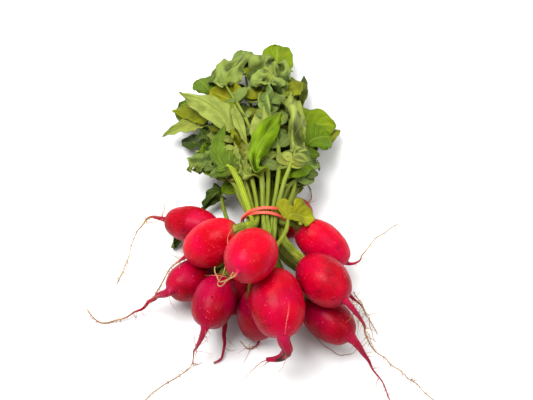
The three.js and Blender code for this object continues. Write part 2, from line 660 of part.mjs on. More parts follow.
// ---- Rubber band --------------------------------------------------------------------------------
// One closed loop that goes twice round the neck; the second turn crosses over the first once.
function rubberBand() {
  const loop = new THREE.TorusGeometry(1, 1, BAND_SIDES, BAND_STEPS * 2);
  const position = loop.attributes.position;
  const uv = loop.attributes.uv;
  for (let i = 0; i < position.count; i += 1) {
    const turn = uv.getX(i) * 4 * Math.PI;
    const section = uv.getY(i) * 2 * Math.PI;
    const half = turn / 2;
    const angle = turn + rad(BAND_CROSS_ANGLE) + Math.PI;
    const radius = BAND_RADIUS + BAND_CROSS * Math.sin(half) + BAND_HALF_THICKNESS * Math.cos(section);
    const along = NECK_PLACE + BAND_LEAD * Math.cos(half) - BAND_HALF_WIDTH * Math.sin(section);
    position.setXYZ(i, Math.cos(angle) * radius, along, NECK_HEIGHT + Math.sin(angle) * radius);
  }
  return toSolid(loop);
}

// ---- Assembly -----------------------------------------------------------------------------------
function labelled(kind, number) {
  return `${kind}_${String(number).padStart(2, '0')}`;
}

const bunch = new THREE.Group();
const surface = aboveSurface();
RADISHES.forEach((radish, index) => {
  const root = radishBody(radish).add(taproot(radish)).intersect(surface);
  bunch.add(namedMesh(labelled('radish', index + 1), root, materials.skin));
  stampBody(radish);
});

const leafyTops = RADISHES.map(crownStub);
leavesInOrder().forEach((entry) => {
  leafyTops[entry.number - 1] = leafyTops[entry.number - 1].add(leafSolid(entry));
});
leafyTops.forEach((top, index) => {
  bunch.add(namedMesh(labelled('leaves', index + 1), top, materials.leaf));
});
bunch.add(namedMesh('rubber_band', rubberBand(), materials.band));

const footprint = new THREE.Box3().setFromObject(bunch);
bunch.position.set(-(footprint.min.x + footprint.max.x) / 2, -(footprint.min.y + footprint.max.y) / 2, 0);

export default bunch;
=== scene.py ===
import math

import bpy
import numpy as np
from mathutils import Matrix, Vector
from mathutils.kdtree import KDTree


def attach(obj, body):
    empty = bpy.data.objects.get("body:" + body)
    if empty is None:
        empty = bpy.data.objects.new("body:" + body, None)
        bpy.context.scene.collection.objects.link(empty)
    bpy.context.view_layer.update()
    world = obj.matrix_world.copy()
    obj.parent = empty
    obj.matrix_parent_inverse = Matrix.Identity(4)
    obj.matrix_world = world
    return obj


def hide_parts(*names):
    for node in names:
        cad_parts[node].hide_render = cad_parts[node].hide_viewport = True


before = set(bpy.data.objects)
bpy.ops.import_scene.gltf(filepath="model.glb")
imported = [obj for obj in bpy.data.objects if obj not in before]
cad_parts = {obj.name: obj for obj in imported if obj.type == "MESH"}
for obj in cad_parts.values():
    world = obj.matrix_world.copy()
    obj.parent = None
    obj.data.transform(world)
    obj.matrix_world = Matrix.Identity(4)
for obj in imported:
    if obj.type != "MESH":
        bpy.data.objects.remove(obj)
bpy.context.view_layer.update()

MM = 0.001
LEAST_LIFT = 0.02  # nothing reaches lower than this over the floor
DESIGN_ORIGIN = np.array([6.02, -24.41, 0.0])  # in the frame; the neck's axis passes over it

# ---- Sizes shared with the solids ----
NECK_HEIGHT, NECK_PLACE = 44.0, -6.0  # height of the neck's axis; where the band sits along it
INNER_SEATS, OUTER_SEATS = 3, 10  # places of the tops in the neck, in two rings
INNER_SEAT_RADIUS, OUTER_SEAT_RADIUS = 4.3, 11.0
STALK_RADIUS, STALK_SPREAD = 1.2, 1.9
STALK_ANGLES = (135, 225, 315, 45)  # of the stalks of one top round its middle
CROWN_GAP, CROWN_LENGTH, STALK_SUNK = 0.4, 7.0, 2.0
TIED_STRETCH, TIED_SPREAD = 16.0, 1.7  # how far past the neck the stalks part, and how widely
TIED_LEAVE, TIED_ENTER, FREE_SPREAD = 0.35, 0.45, 0.7  # how stiffly a stalk leaves and enters each stretch
TIED_STEPS, STALK_STEPS = 3, 3
ROOT_SUNK, BODY_BULGE = 1.0, 0.85  # a bulge below 1 is fuller than an ellipsoid
BLADE_THICKNESS, BLADE_BEND, BLADE_ARCH = 1.1, 0.35, 0.07
CUP_START, WAVE_SHIFT = 3.0, 1.7
# the leaves sink towards the floor away from the neck, by how high they are in it
FAN_REACH, LOWEST_SHARE, HIGHEST_SHARE, TIP_DROOP, LEAST_HEIGHT = 120.0, 0.15, 0.85, 4.0, 2.0
BAND_RADIUS, BAND_HALF_WIDTH, BAND_HALF_THICKNESS = 16.4, 1.1, 0.5
# how far the two turns part: outwards, and along the neck; where they cross, in degrees
BAND_CROSS, BAND_TURNS_LEAD, BAND_TURNS_CROSS = 0.7, 2.8, 165.0

# ---- The radishes: as the solids, with the route of each taproot ----
# centre, heading, rise, length, width, seat, tail radius, taproot route
RADISHES = [
    ((-54, 0, 28), -110, -15, 43, 27, 6, 3.2,
     [(-76, 8, 22), (-86, 11, 19), (-94, 6, 14), (-99, -2, 8), (-103, -14, 3), (-110, -36, 1)]),
    ((-37, -27, 51), -80, -35, 45, 32, 4, 2.5,
     [(-60, -33, 36), (-66, -37, 34), (-70, -43, 32), (-74, -48, 26), (-78, -52, 20)]),
    ((-9, -51, 80), -25, 30, 42, 34, 3, 2.5,
     [(-19, -71, 91), (-23, -74, 92), (-28, -74, 89), (-31, -68, 83), (-32, -58, 78)]),
    ((-53, -42, 22), -50, 25, 39, 29, 1, 4.5,
     [(-68, -56, 31), (-76, -54, 22), (-87, -57, 10), (-98, -62, 4), (-120, -66, 1), (-130, -55, 1)]),
    ((-35, -66, 39), -15, 10, 41, 30, 5, 4,
     [(-41, -88, 40), (-45, -93, 30), (-49, -93, 18), (-50, -95, 8), (-53, -99, 2), (-74, -115, 1),
      (-86, -126, 1)]),
    ((8, -74, 55), 10, 0, 49, 37, 12, 5,
     [(12, -100, 54), (15, -104, 47), (13, -105, 38), (8, -104, 31), (1, -103, 26)]),
    ((-6, -69, 22), 10, -60, 40, 28, 0, 2.5,
     [(-4, -81, 4), (-7, -85, 2), (-12, -86, 1), (-19, -80, 1)]),
    ((-24, -46, 13), -15, 0, 38, 28, 7, 3,
     [(-29, -67, 12), (-29, -77, 9), (-29, -86, 5), (-31, -94, 2), (-36, -97, 1)]),
    ((41, -21, 38), 60, -25, 44, 29, 11, 3.2,
     [(59, -32, 28), (66, -30, 26), (72, -21, 22), (80, -9, 17), (88, 0, 15), (102, 10, 12)]),
    ((40, -55, 50), 40, 10, 43, 33, 10, 3.5,
     [(56, -74, 53), (64, -80, 44), (69, -84, 30), (75, -90, 14), (84, -94, 4), (98, -105, 1),
      (118, -124, 1)]),
    ((44, -72, 22), 45, 10, 44, 30, 2, 4.5,
     [(62, -90, 25), (69, -96, 16), (75, -102, 8), (82, -113, 3), (91, -132, 1)]),
    ((45, -40, 13), 55, 10, 38, 28, 9, 3,
     [(62, -52, 15), (70, -57, 9), (75, -64, 4), (80, -75, 1)]),
    ((21, 14, 13), 145, -15, 36, 27, 8, 3,
     [(33, 30, 8), (36, 36, 4), (36, 44, 2), (32, 56, 1)]),
]

# ---- The leaves: as the solids, with their looks ----
# outline: half-width from base to tip; cup, ripple, waves: the edges' rise, wave height, wave number
FORMS = {
    "round": ([0.12, 0.6, 0.92, 1, 0.97, 0.82, 0.35], 0.2, 0.1, 1.5),
    "lobed": ([0.12, 0.6, 0.3, 0.85, 1, 0.85, 0.3], 0.15, 0.15, 2),
    "trefoil": ([0.25, 0.9, 1, 0.7, 0.9, 0.8, 0.35], 0.25, 0.12, 1),
    "narrow": ([0.15, 0.5, 0.9, 1, 0.9, 0.7, 0.2], 0.3, 0.1, 2),
    "tongue": ([0.15, 0.45, 0.25, 0.7, 1, 0.9, 0.3], 0.2, 0.1, 2),
    "folded": ([0.15, 0.6, 0.9, 1, 0.85, 0.55, 0.1], -0.4, 0.12, 1.5),
    "wilted": ([0.2, 0.8, 1, 0.8, 0.95, 0.75, 0.3], -0.2, 0.3, 2.5),
}
# the "dark" tone is darker than a leaf's own green: painted shade, for leaves that lie under others
TONES = {
    "vivid": (94, 122, 4), "bright": (96, 116, 6), "olive": (106, 110, 12), "mid": (76, 100, 22),
    "deep": (78, 104, 6), "dark": (42, 60, 14), "pale": (124, 134, 60), "grey": (102, 120, 58),
    "yellow": (124, 122, 12),
}
# base, tip, width, form, tone, looks. Looks may hold back (underside up), crumple, spots, thick and lean
# (of the stalk, mm to the right), loose (outside the band) and lie (heights of base and tip).
SHOWN_LEAVES = {
    1: [((-33, 30), (-48, 22), 14, "folded", "dark", {"lie": (22, 12), "loose": 1, "crumple": 0.7}),
        ((-45, 12), (-70, -7), 17, "narrow", "dark", {"lie": (9, 4), "loose": 1, "crumple": 0.7})],
    2: [((-29, 35), (-31, 74), 12, "narrow", "mid", {"thick": 1.9, "lean": -5}),
        ((-25, 69), (-68, 114), 22, "folded", "pale", {"back": 1, "crumple": 0.25, "spots": 0.3}),
        ((-23, 31), (-21, 50), 14, "narrow", "pale", {"back": 1, "crumple": 0.3}),
        ((-14, 51), (-26, 68), 14, "folded", "olive", {"crumple": 0.3})],
    3: [((-14, 57), (-25, 97), 8, "narrow", "pale", {"back": 1, "thick": 1.3}),
        ((-9, 20), (-16, 36), 12, "wilted", "pale", {"back": 1, "crumple": 0.8, "spots": 0.5}),
        ((-3, 50), (-2, 88), 14, "round", "pale", {"back": 1, "crumple": 0.2}),
        ((1, 20), (13, 84), 16, "tongue", "vivid", {})],
    4: [((-44, 86), (-82, 87), 13, "narrow", "pale", {"crumple": 0.2}),
        ((-32, 36), (-47, 70), 13, "narrow", "vivid", {}),
        ((-41, 65), (-44, 92), 16, "narrow", "dark", {"crumple": 0.3}),
        ((-17, 151), (-19, 175), 19, "round", "grey", {"spots": 0.4})],
    5: [((-41, 46), (-58, 54), 22, "wilted", "grey", {"crumple": 0.9}),
        ((-39, 88), (-74, 105), 25, "folded", "olive", {"crumple": 0.3, "spots": 0.5}),
        ((-44, 118), (-54, 136), 21, "round", "mid", {}),
        ((-25, 104), (-44, 119), 28, "round", "yellow", {"spots": 0.4, "crumple": 0.2})],
    6: [((4, 82), (0, 110), 15, "round", "grey", {"crumple": 0.3}),
        ((16, -14), (35, -9), 25, "trefoil", "yellow", {"lie": (62, 46), "loose": 1, "spots": 1.0}),
        ((13, 21), (35, 38), 15, "tongue", "vivid", {}),
        ((21, 40), (19, 112), 13, "wilted", "pale", {"back": 1, "crumple": 1.0, "spots": 0.4})],
    7: [((-31, 118), (-15, 160), 28, "wilted", "grey", {"back": 1, "crumple": 0.8}),
        ((12, 102), (-28, 112), 20, "narrow", "grey", {"back": 1, "crumple": 0.4}),
        ((-8, 128), (-8, 160), 20, "round", "olive", {"spots": 0.3}),
        ((3, 111), (8, 155), 34, "wilted", "grey", {"back": 1, "crumple": 1.35, "spots": 0.5})],
    8: [((-46, 71), (-67, 90), 16, "lobed", "dark", {"crumple": 0.3})],
    9: [((26, 36), (39, 53), 18, "lobed", "grey", {"crumple": 0.5, "spots": 0.4}),
        ((32, 63), (51, 77), 30, "round", "deep", {"crumple": 0.1})],
    10: [((17, 72), (18, 108), 15, "narrow", "dark", {}),
         ((22, 111), (23, 146), 15, "round", "olive", {}),
         ((21, 45), (32, 67), 18, "wilted", "yellow", {"crumple": 0.6, "spots": 1.0}),
         ((28, 83), (57, 98), 30, "round", "bright", {"spots": 0.7})],
    11: [((9, 139), (10, 181), 27, "round", "bright", {}),
         ((13, 106), (10, 135), 22, "round", "olive", {"spots": 0.7, "crumple": 0.3}),
         ((28, 110), (32, 148), 7, "narrow", "dark", {})],
}
SHOWN_GRID, INNER_GRID = (6, 5), (5, 3)
INNER_LEAVES, INNER_SEED = 3, 7
INNER_FANS = {1: (-46, -28), 8: (-38, -12), 9: (14, 8), 12: (10, 25), 13: (-18, 4)}
INNER_REACHES, INNER_REACH_DRAW = (92, 62, 78, 104), 8
INNER_BLADE, INNER_WIDTH, INNER_TURN = (30, 42), (26, 34), 1.2
INNER_FORMS = ("lobed", "round", "narrow")
# the inner leaves lie under the shown ones; the dark tone among them is painted shade
INNER_TONES = ("mid", "dark", "olive")


# ---- Small tools ----
TINY = 1e-4


def vec(*numbers):
    return np.array(numbers, dtype=float)


def unit(v):
    return v / max(np.linalg.norm(v), 1e-9)


def linear(rgb):
    """A colour given as the eye sees it, 0 to 255, as linear light."""
    share = np.asarray(rgb, dtype=float) / 255
    return np.where(share <= 0.04045, share / 12.92, ((share + 0.055) / 1.055) ** 2.4)


def smooth(low, high, value):
    share = np.clip((value - low) / (high - low), 0, 1)
    return share * share * (3 - 2 * share)


def between(rise, fall, value):
    """1 between two soft edges, each given by where it starts and ends."""
    return smooth(*rise, value) * (1 - smooth(*fall, value))


def smooth_max(a, b, width):
    gap = np.maximum(width - np.abs(a - b), 0)
    return np.maximum(a, b) + gap * gap / (4 * width)


def seeded_random(seed):
    state = seed
    while True:
        state = state * 16807 % 2147483647
        yield state / 2147483647


def drawn(low, high, draws):
    return low + (high - low) * next(draws)


class Ripple:
    """A smooth random field between about -1 and 1, with features of a given size."""

    def __init__(self, seed, size, count=14):
        rng = np.random.default_rng(seed)
        directions = rng.normal(size=(count, 3))
        directions /= np.linalg.norm(directions, axis=1)[:, None]
        self.waves = directions * (2 * math.pi / size) * rng.uniform(0.6, 1.5, (count, 1))
        self.shifts = rng.uniform(0, 2 * math.pi, count)

    def __call__(self, points):
        phases = np.asarray(points, dtype=float) @ self.waves.T + self.shifts
        return np.sin(phases).sum(axis=-1) * math.sqrt(2 / len(self.shifts)) * 0.6


def wandering(points, seed, size):
    """A smooth random move for each point of a line."""
    return np.column_stack([Ripple(seed + k, size)(points) for k in range(3)])


def lifted(points, least):
    """The points, none of them lower than the least height."""
    points[..., 2] = np.maximum(points[..., 2], least)
    return points


def run_lengths(points):
    """How far along the line each of its points is."""
    return np.concatenate([[0], np.cumsum(np.linalg.norm(np.diff(points, axis=0), axis=1))])


def circle(sides):
    return np.linspace(0, 2 * math.pi, sides, endpoint=False)


def places_round(sides, rings):
    """Where each corner of the rings is, from -1 to 1 round its ring."""
    return np.tile(circle(sides) / math.pi - 1, rings)


def catmull(points, shares):
    """Centripetal Catmull-Rom curve through the points, at shares of its way from 0 to 1."""
    points = [vec(*p) for p in points]
    padded = [2 * points[0] - points[1], *points, 2 * points[-1] - points[-2]]
    out = []
    for share in shares:
        place = share * (len(points) - 1)
        index = min(int(place), len(points) - 2)
        a, b, c, d = padded[index:index + 4]
        steps = [max(np.linalg.norm(q - p), TINY) ** 0.5 for p, q in ((a, b), (b, c), (c, d))]
        leave = (b - a) / steps[0] - (c - a) / (steps[0] + steps[1]) + (c - b) / steps[1]
        enter = (c - b) / steps[1] - (d - b) / (steps[1] + steps[2]) + (d - c) / steps[2]
        leave, enter = leave * steps[1], enter * steps[1]
        w = place - index
        out.append(b + leave * w + (3 * (c - b) - 2 * leave - enter) * w ** 2
                   + (2 * (b - c) + leave + enter) * w ** 3)
    return np.array(out)


def quadratic(a, b, c, t):
    return a * (1 - t) ** 2 + 2 * b * t * (1 - t) + c * t ** 2


def cubic(a, b, c, d, t):
    return a * (1 - t) ** 3 + 3 * b * t * (1 - t) ** 2 + 3 * c * t ** 2 * (1 - t) + d * t ** 3


# ---- Meshes ----
def placed(name, data):
    """A new object in the scene."""
    thing = bpy.data.objects.new(name, data)
    bpy.context.scene.collection.objects.link(thing)
    return thing


# what the materials read at each corner, 0 where a piece doesn't say; one layer holds both painted shade in
# the hollows of crumpled leaves and the scar on a taproot's bend
LAYERS = ("along", "across", "back", "crease", "spots")


class Piece:
    """Gathers surfaces in millimetres of the design and makes one mesh object of them."""

    def __init__(self):
        self.count = 0
        self.points, self.faces, self.tones = [], [], []
        self.layers = {name: [] for name in LAYERS}

    def add(self, points, faces, tone=(0, 0, 0), **layers):
        size = len(points)
        self.points.append(points)
        self.faces += [tuple(int(i) + self.count for i in face) for face in faces]
        self.tones.append(np.broadcast_to(np.asarray(tone, dtype=float), (size, 3)))
        for name in LAYERS:
            self.layers[name].append(np.broadcast_to(layers.get(name, 0.0), (size,)))
        self.count += size

    def make(self, name, node, material):
        mesh = bpy.data.meshes.new(name)
        points = lifted(np.concatenate(self.points) + DESIGN_ORIGIN, LEAST_LIFT) * MM
        mesh.from_pydata(points.tolist(), [], self.faces)
        mesh.shade_smooth()
        tones = np.concatenate(self.tones)
        tones = np.column_stack([tones, np.ones(len(tones))]).astype(np.float32)
        layer = mesh.attributes.new("tone", "FLOAT_COLOR", "POINT")
        layer.data.foreach_set("color", tones.ravel())
        for key, parts in self.layers.items():
            layer = mesh.attributes.new(key, "FLOAT", "POINT")
            layer.data.foreach_set("value", np.concatenate(parts).astype(np.float32))
        mesh.materials.append(material)
        piece = placed(name, mesh)
        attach(piece, "root")
        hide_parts(node)


def grid_faces(rows, columns, wrap=False):
    faces = []
    for row in range(rows - 1):
        for column in range(columns if wrap else columns - 1):
            a = row * columns + column
            b = row * columns + (column + 1) % columns
            faces.append((a, b, b + columns, a + columns))
    return faces


def shell_faces(rows, columns):
    """Faces of a thin closed blade: the upper grid, the lower grid and the rim between them."""
    count = rows * columns
    faces = grid_faces(rows, columns)
    faces += [tuple(i + count for i in face[::-1]) for face in faces]
    loop = list(range(columns))
    loop += [row * columns + columns - 1 for row in range(1, rows)]
    loop += [count - 1 - column for column in range(1, columns)]
    loop += [row * columns for row in range(rows - 2, 0, -1)]
    for a, b in zip(loop, loop[1:] + loop[:1]):
        faces.append((b, a, a + count, b + count))
    return faces


def frames_along(points):
    """Two directions across the line at each of its points, turning as little as possible."""
    tangents = np.gradient(points, axis=0)
    tangents /= np.linalg.norm(tangents, axis=1)[:, None]
    guide = vec(0, 0, 1) if abs(tangents[0][2]) < 0.9 else vec(1, 0, 0)
    side = unit(np.cross(tangents[0], guide))
    sides, ups = [], []
    for tangent in tangents:
        side = unit(side - tangent * (side @ tangent))
        sides.append(side)
        ups.append(np.cross(side, tangent))
    return np.array(sides), np.array(ups)


def tube(points, radii, sides):
    """Rings round a line; radii is one number a ring, or one for each side of each ring."""
    side, up = frames_along(points)
    angles = circle(sides)[None, :, None]
    radii = np.asarray(radii, dtype=float)
    radii = radii[:, None] if radii.ndim == 1 else radii
    ring = np.cos(angles) * side[:, None, :] + np.sin(angles) * up[:, None, :]
    rings = points[:, None, :] + ring * radii[:, :, None]
    faces = grid_faces(len(points), sides, wrap=True)
    faces.append(tuple(range(sides))[::-1])
    faces.append(tuple(range((len(points) - 1) * sides, len(points) * sides)))
    return rings.reshape(-1, 3), faces


def spread(per_ring, sides):
    return np.repeat(np.asarray(per_ring, dtype=float), sides)


# ---- Radishes ----
SKIN_SIDES, SKIN_RINGS, ROOT_RINGS = 56, 60, 110
FIRST_RING, ROOT_RING_EASE = 0.02, 1.15  # rings stand closer at the crown and where the root starts
RADISH_SEED, WANDER_SEED, STRAND_SEED, BROAD_SEED, FINE_SEED = 100, 7, 9, 40, 60
TAIL_EASE, TAIL_BLEND, TAIL_DROP = 2.5, 3.0, 4.0  # how softly the body runs into its root
EASE_IN, EASE_OUT, DROP_IN, RIDGES_IN = (-6, -2), (8, 12), (-1, 5), (-1, 7)  # mm past the body's end
ROOT_WANDER, ROOT_WANDER_SIZE, ROOT_WANDER_IN = 0.6, 16, (4, 20)
ROOT_CORE, ROUND_TIP = 0.2, 0.02  # radius inside the body; last ring, as a share of the tip
RIDGES = ((3, 0.06, 1, 0.13), (7, 0.11, 2, 0.07))  # number round the root, twist, turn, depth
BROAD_BUMP, BROAD_SIZE, FINE_BUMP, FINE_SIZE = 0.017, 0.75, 0.005, 6
SKIN_LIFT, STRAND_LIFT, HAIR_LIFT = 0.15, 0.5, 0.2  # least heights over the floor
SCAR_SIDE, SCAR_EDGE = (0, -1, 0.1), (0.1, 0.6)  # way that the scar on a root's bend faces
SCAR_IN, SCAR_OUT = (1.3, 1.45), (1.7, 1.85)  # along the root, which runs from 1 to 2
# radius at the end of a taproot and how fast it thins; the first is for all the others
ROOT_ENDS = {0: (0.3, 3.8), 2: (0.45, 7), 3: (0.4, 8), 4: (0.35, 2.4), 6: (1.3, 1), 8: (0.6, 2),
             9: (0.35, 5), 11: (0.35, 2.6)}
# how many side roots, as a share of the first, which is for all the others
ROOT_HAIRS = {0: 1.0, 1: 1.2, 3: 0.15, 6: 0.4, 7: 0.4, 8: 0.3, 9: 0.25, 13: 0.15}
HAIRS_LEAST, HAIRS_PER_MM, HAIRS_START, HAIR_SPAN, HAIR_EASE = 12, 0.5, 0.97, (0.02, 0.95), 1.2
HAIR_ROWS, HAIR_ROW_SPREAD = (0.4, 2.3, 3.9, 5.3), 0.3  # angles round the root
SHORT_HAIR, LONG_HAIR, SHORT_SHARE, HAIR_SHORTENS = (3, 9), (10, 22), 0.8, 0.6
HAIR_CURL, HAIR_SHAKE, HAIR_SAG, HAIR_AHEAD = 0.35, 0.12, -0.05, (0.1, 0.9)
HAIR_STEPS, HAIR_SIDES, HAIR_RADII, HAIR_DRAW = 7, 5, (0.26, 0.07), (0.7, 1.2)
HAIR_ALONG, HAIR_TAN, HAIR_TO_ROOT = 1.5, (0.4, 1), 0.6
STRAND_RINGS, STRAND_SIDES, STRAND_RADII = 60, 8, (0.42, 0.14)
STRAND_WANDER, STRAND_WANDER_SIZE, STRAND_ALONG, STRAND_TAN = 0.5, 9, 1.6, (0.6, 1)
# long free rootlets, each by its route
STRANDS = {
    1: [[(-78, 9, 22), (-75, 15, 25), (-75, 21, 25), (-71, 24, 25), (-66, 25, 24)]],
    3: [[(-20, -68, 89), (-24, -72, 86), (-29, -74, 81), (-30, -69, 78), (-26, -59, 78), (-25, -49, 78),
         (-25, -39, 76), (-24, -32, 74), (-21, -25, 72)]],
    6: [[(3, -103, 26), (-3, -104, 22), (-8, -106, 15), (-12, -108, 8), (-17, -111, 3)],
        [(6, -103, 28), (1, -104, 21), (-1, -103, 14), (-5, -102, 8)]],
    10: [[(61, -60, 40), (64, -58, 30), (68, -61, 23), (73, -66, 14), (76, -74, 6), (79, -81, 1)],
         [(61, -70, 42), (66, -72, 28), (70, -75, 14), (75, -80, 5), (78, -88, 1)]],
    11: [[(30, -73, 16), (33, -77, 11), (40, -83, 5), (49, -89, 2), (56, -91, 1), (63, -89, 2),
          (65, -86, 6)]],
}


def tail_direction(heading, rise):
    heading, rise = math.radians(heading), math.radians(rise)
    return vec(math.sin(heading) * math.cos(rise), -math.cos(heading) * math.cos(rise), math.sin(rise))


def eased(points, distance, length):
    """The line with its bend at the root's tail rounded off."""
    steps = np.gradient(distance)
    weights = np.exp(-((distance[:, None] - distance[None, :]) / TAIL_EASE) ** 2) * steps[None, :]
    soft = weights @ points / weights.sum(axis=1)[:, None]
    return points + (soft - points) * between(EASE_IN, EASE_OUT, distance - length)[:, None]


def radish_radii(number, radish, distance, shares, runs):
    """The body's oval, running softly into the tapering root."""
    length, width, _, tail = radish[3:7]
    share = np.clip(distance / length, 0, 1)
    oval = np.maximum(np.sin(np.arccos(1 - 2 * share)), TINY) ** BODY_BULGE * width / 2
    oval = oval - TAIL_DROP * smooth(*DROP_IN, distance - length)
    thin, taper = ROOT_ENDS.get(number, ROOT_ENDS[0])
    root = thin + (tail - thin) * (1 - shares) ** taper
    to_tip = (runs[-1] - runs) / thin
    root = root * np.sqrt(1 - (1 - np.clip(to_tip, ROUND_TIP, 1)) ** 2)
    root = np.concatenate([np.full(len(distance) - len(root), ROOT_CORE), root])
    return smooth_max(oval, root, TAIL_BLEND)


def radish_piece(number, radish):
    centre, heading, rise, length, width, _, _, route = radish
    axis = tail_direction(heading, rise)
    crown = vec(*centre) - axis * length / 2
    joint = length - ROOT_SUNK
    bends = np.linspace(FIRST_RING, 1, SKIN_RINGS) * math.acos(1 - 2 * joint / length)
    ways = (1 - np.cos(bends)) * length / 2
    shares = np.linspace(0, 1, ROOT_RINGS + 1) ** ROOT_RING_EASE
    root = catmull([crown + axis * joint, *route], shares)
    runs = run_lengths(root)
    drift = ROOT_WANDER * smooth(*ROOT_WANDER_IN, runs)
    root = root + wandering(root, number * WANDER_SEED, ROOT_WANDER_SIZE) * drift[:, None]
    distance = np.concatenate([ways, joint + runs[1:]])
    points = eased(np.concatenate([crown + ways[:, None] * axis, root[1:]]), distance, length)
    radii = radish_radii(number, radish, distance, shares[1:], runs[1:])
    angles = circle(SKIN_SIDES)
    ridges = sum(depth * np.sin(angles[None, :] * count + distance[:, None] * twist + turn * number)
                 for count, twist, turn, depth in RIDGES)
    shape = 1 + smooth(*RIDGES_IN, distance - length)[:, None] * ridges
    skin, faces = tube(points, radii[:, None] * shape, SKIN_SIDES)
    middle = np.repeat(points, SKIN_SIDES, axis=0)
    outward = skin - middle
    bumps = BROAD_BUMP * Ripple(number + BROAD_SEED, width * BROAD_SIZE)(skin)
    bumps = bumps + FINE_BUMP * Ripple(number + FINE_SEED, FINE_SIZE)(skin)
    skin = lifted(middle + outward * (1 + bumps)[:, None], SKIN_LIFT)
    along = np.concatenate([ways / length, joint / length + shares[1:]])
    facing = (outward @ vec(*SCAR_SIDE)) / np.maximum(np.linalg.norm(outward, axis=1), TINY)
    scar = smooth(*SCAR_EDGE, facing) * spread(between(SCAR_IN, SCAR_OUT, along), SKIN_SIDES)
    piece = Piece()
    piece.add(skin, faces, along=spread(along, SKIN_SIDES), across=places_round(SKIN_SIDES, len(points)),
              crease=scar)
    add_side_roots(piece, number, points, radii, distance, length)
    add_strands(piece, number)
    node = f"radish_{number:02d}"
    piece.make(f"red_{node}", node, skin_material(number))


def add_hair(piece, line, radii, sides, least, along, tan):
    hair, faces = tube(lifted(line, least), radii, sides)
    piece.add(hair, faces, along=along, back=spread(np.linspace(*tan, len(line)), sides))


def add_side_roots(piece, number, points, radii, distance, length):
    """Fine roots along the taproot: short ones in rows, and a few long curled ones."""
    rng = np.random.default_rng(RADISH_SEED + number)
    root_length = distance[-1] - length
    count = int((HAIRS_LEAST + root_length * HAIRS_PER_MM) * ROOT_HAIRS.get(number, ROOT_HAIRS[0]))
    side, up = frames_along(points)
    for _ in range(count):
        start = length * HAIRS_START + root_length * rng.uniform(*HAIR_SPAN) ** HAIR_EASE
        ring = int(np.searchsorted(distance, start).clip(1, len(points) - 2))
        angle = rng.choice(HAIR_ROWS) + rng.normal() * HAIR_ROW_SPREAD
        out = side[ring] * math.cos(angle) + up[ring] * math.sin(angle)
        forward = unit(points[ring + 1] - points[ring])
        reach = rng.uniform(*(SHORT_HAIR if rng.random() < SHORT_SHARE else LONG_HAIR))
        reach *= 1 - HAIR_SHORTENS * (start - length) / root_length
        curl = rng.normal(size=3) * HAIR_CURL
        line = [points[ring]]
        heading = unit(out + forward * rng.uniform(*HAIR_AHEAD))
        for _ in range(HAIR_STEPS):
            shake = rng.normal(size=3) * HAIR_SHAKE
            heading = unit(heading + curl / HAIR_STEPS + shake + vec(0, 0, HAIR_SAG))
            line.append(line[-1] + heading * reach / HAIR_STEPS)
        thickness = np.linspace(*HAIR_RADII, HAIR_STEPS + 1) * rng.uniform(*HAIR_DRAW)
        thickness = np.minimum(thickness, radii[ring] * HAIR_TO_ROOT)
        add_hair(piece, np.array(line), thickness, HAIR_SIDES, HAIR_LIFT, HAIR_ALONG, HAIR_TAN)


def add_strands(piece, number):
    for route in STRANDS.get(number, []):
        line = catmull(route, np.linspace(0, 1, STRAND_RINGS))
        line = line + STRAND_WANDER * wandering(line, number * STRAND_SEED, STRAND_WANDER_SIZE)
        radii = np.linspace(*STRAND_RADII, STRAND_RINGS)
        add_hair(piece, line, radii, STRAND_SIDES, STRAND_LIFT, STRAND_ALONG, STRAND_TAN)


# ---- Leaf places, as in the solids ----
# how near a corner of the solid belongs to a point, how far a stalk's may be from its guess, and how
# the heights spread to their neighbours
CORNER_REACH, STALK_MARGIN, GUESS_REACH, SPREAD_ROUNDS, SPREAD_SHARE = 0.12, 0.05, 12.0, 60, 0.3
STALK_CORNERS = 4


def round_neck(angle, radius):
    return vec(math.cos(angle) * radius, 0, math.sin(angle) * radius)


def seat_offset(seat):
    if seat < INNER_SEATS:
        return round_neck(math.pi / 2 + seat / INNER_SEATS * 2 * math.pi, INNER_SEAT_RADIUS)
    turn = (seat - INNER_SEATS) / OUTER_SEATS
    return round_neck(math.pi / 2 + turn * 2 * math.pi, OUTER_SEAT_RADIUS)


def resting_height(seat, place):
    offset = seat_offset(seat)[2]
    level = (offset + OUTER_SEAT_RADIUS) / (2 * OUTER_SEAT_RADIUS)
    share = LOWEST_SHARE + (HIGHEST_SHARE - LOWEST_SHARE) * level
    way = min(1, math.hypot(*place) / FAN_REACH)
    return (NECK_HEIGHT + offset) * (1 + (share - 1) * way)


def lies_at(leaf, seat):
    if "lie" in leaf["looks"]:
        return leaf["looks"]["lie"]
    tip = max(LEAST_HEIGHT, resting_height(seat, leaf["tip"]) - TIP_DROOP)
    return resting_height(seat, leaf["base"]), tip


def turned(offset, axis):
    """The offset turned as the shortest turn from +Y to the axis turns it."""
    turn = Vector((0, 1, 0)).rotation_difference(Vector(axis))
    return np.array(turn @ Vector(offset))


def tied_line(radish, seat_point, offset, steps):
    centre, heading, rise, length = radish[:4]
    away = -tail_direction(heading, rise)
    start = vec(*centre) + away * (length / 2 + CROWN_GAP + STALK_SUNK) + turned(offset, away)
    reach = np.linalg.norm(start - seat_point)
    leave, enter = start + away * TIED_LEAVE * reach, seat_point - vec(0, TIED_ENTER * reach, 0)
    return [cubic(start, leave, enter, seat_point, step / steps) for step in range(steps + 1)]


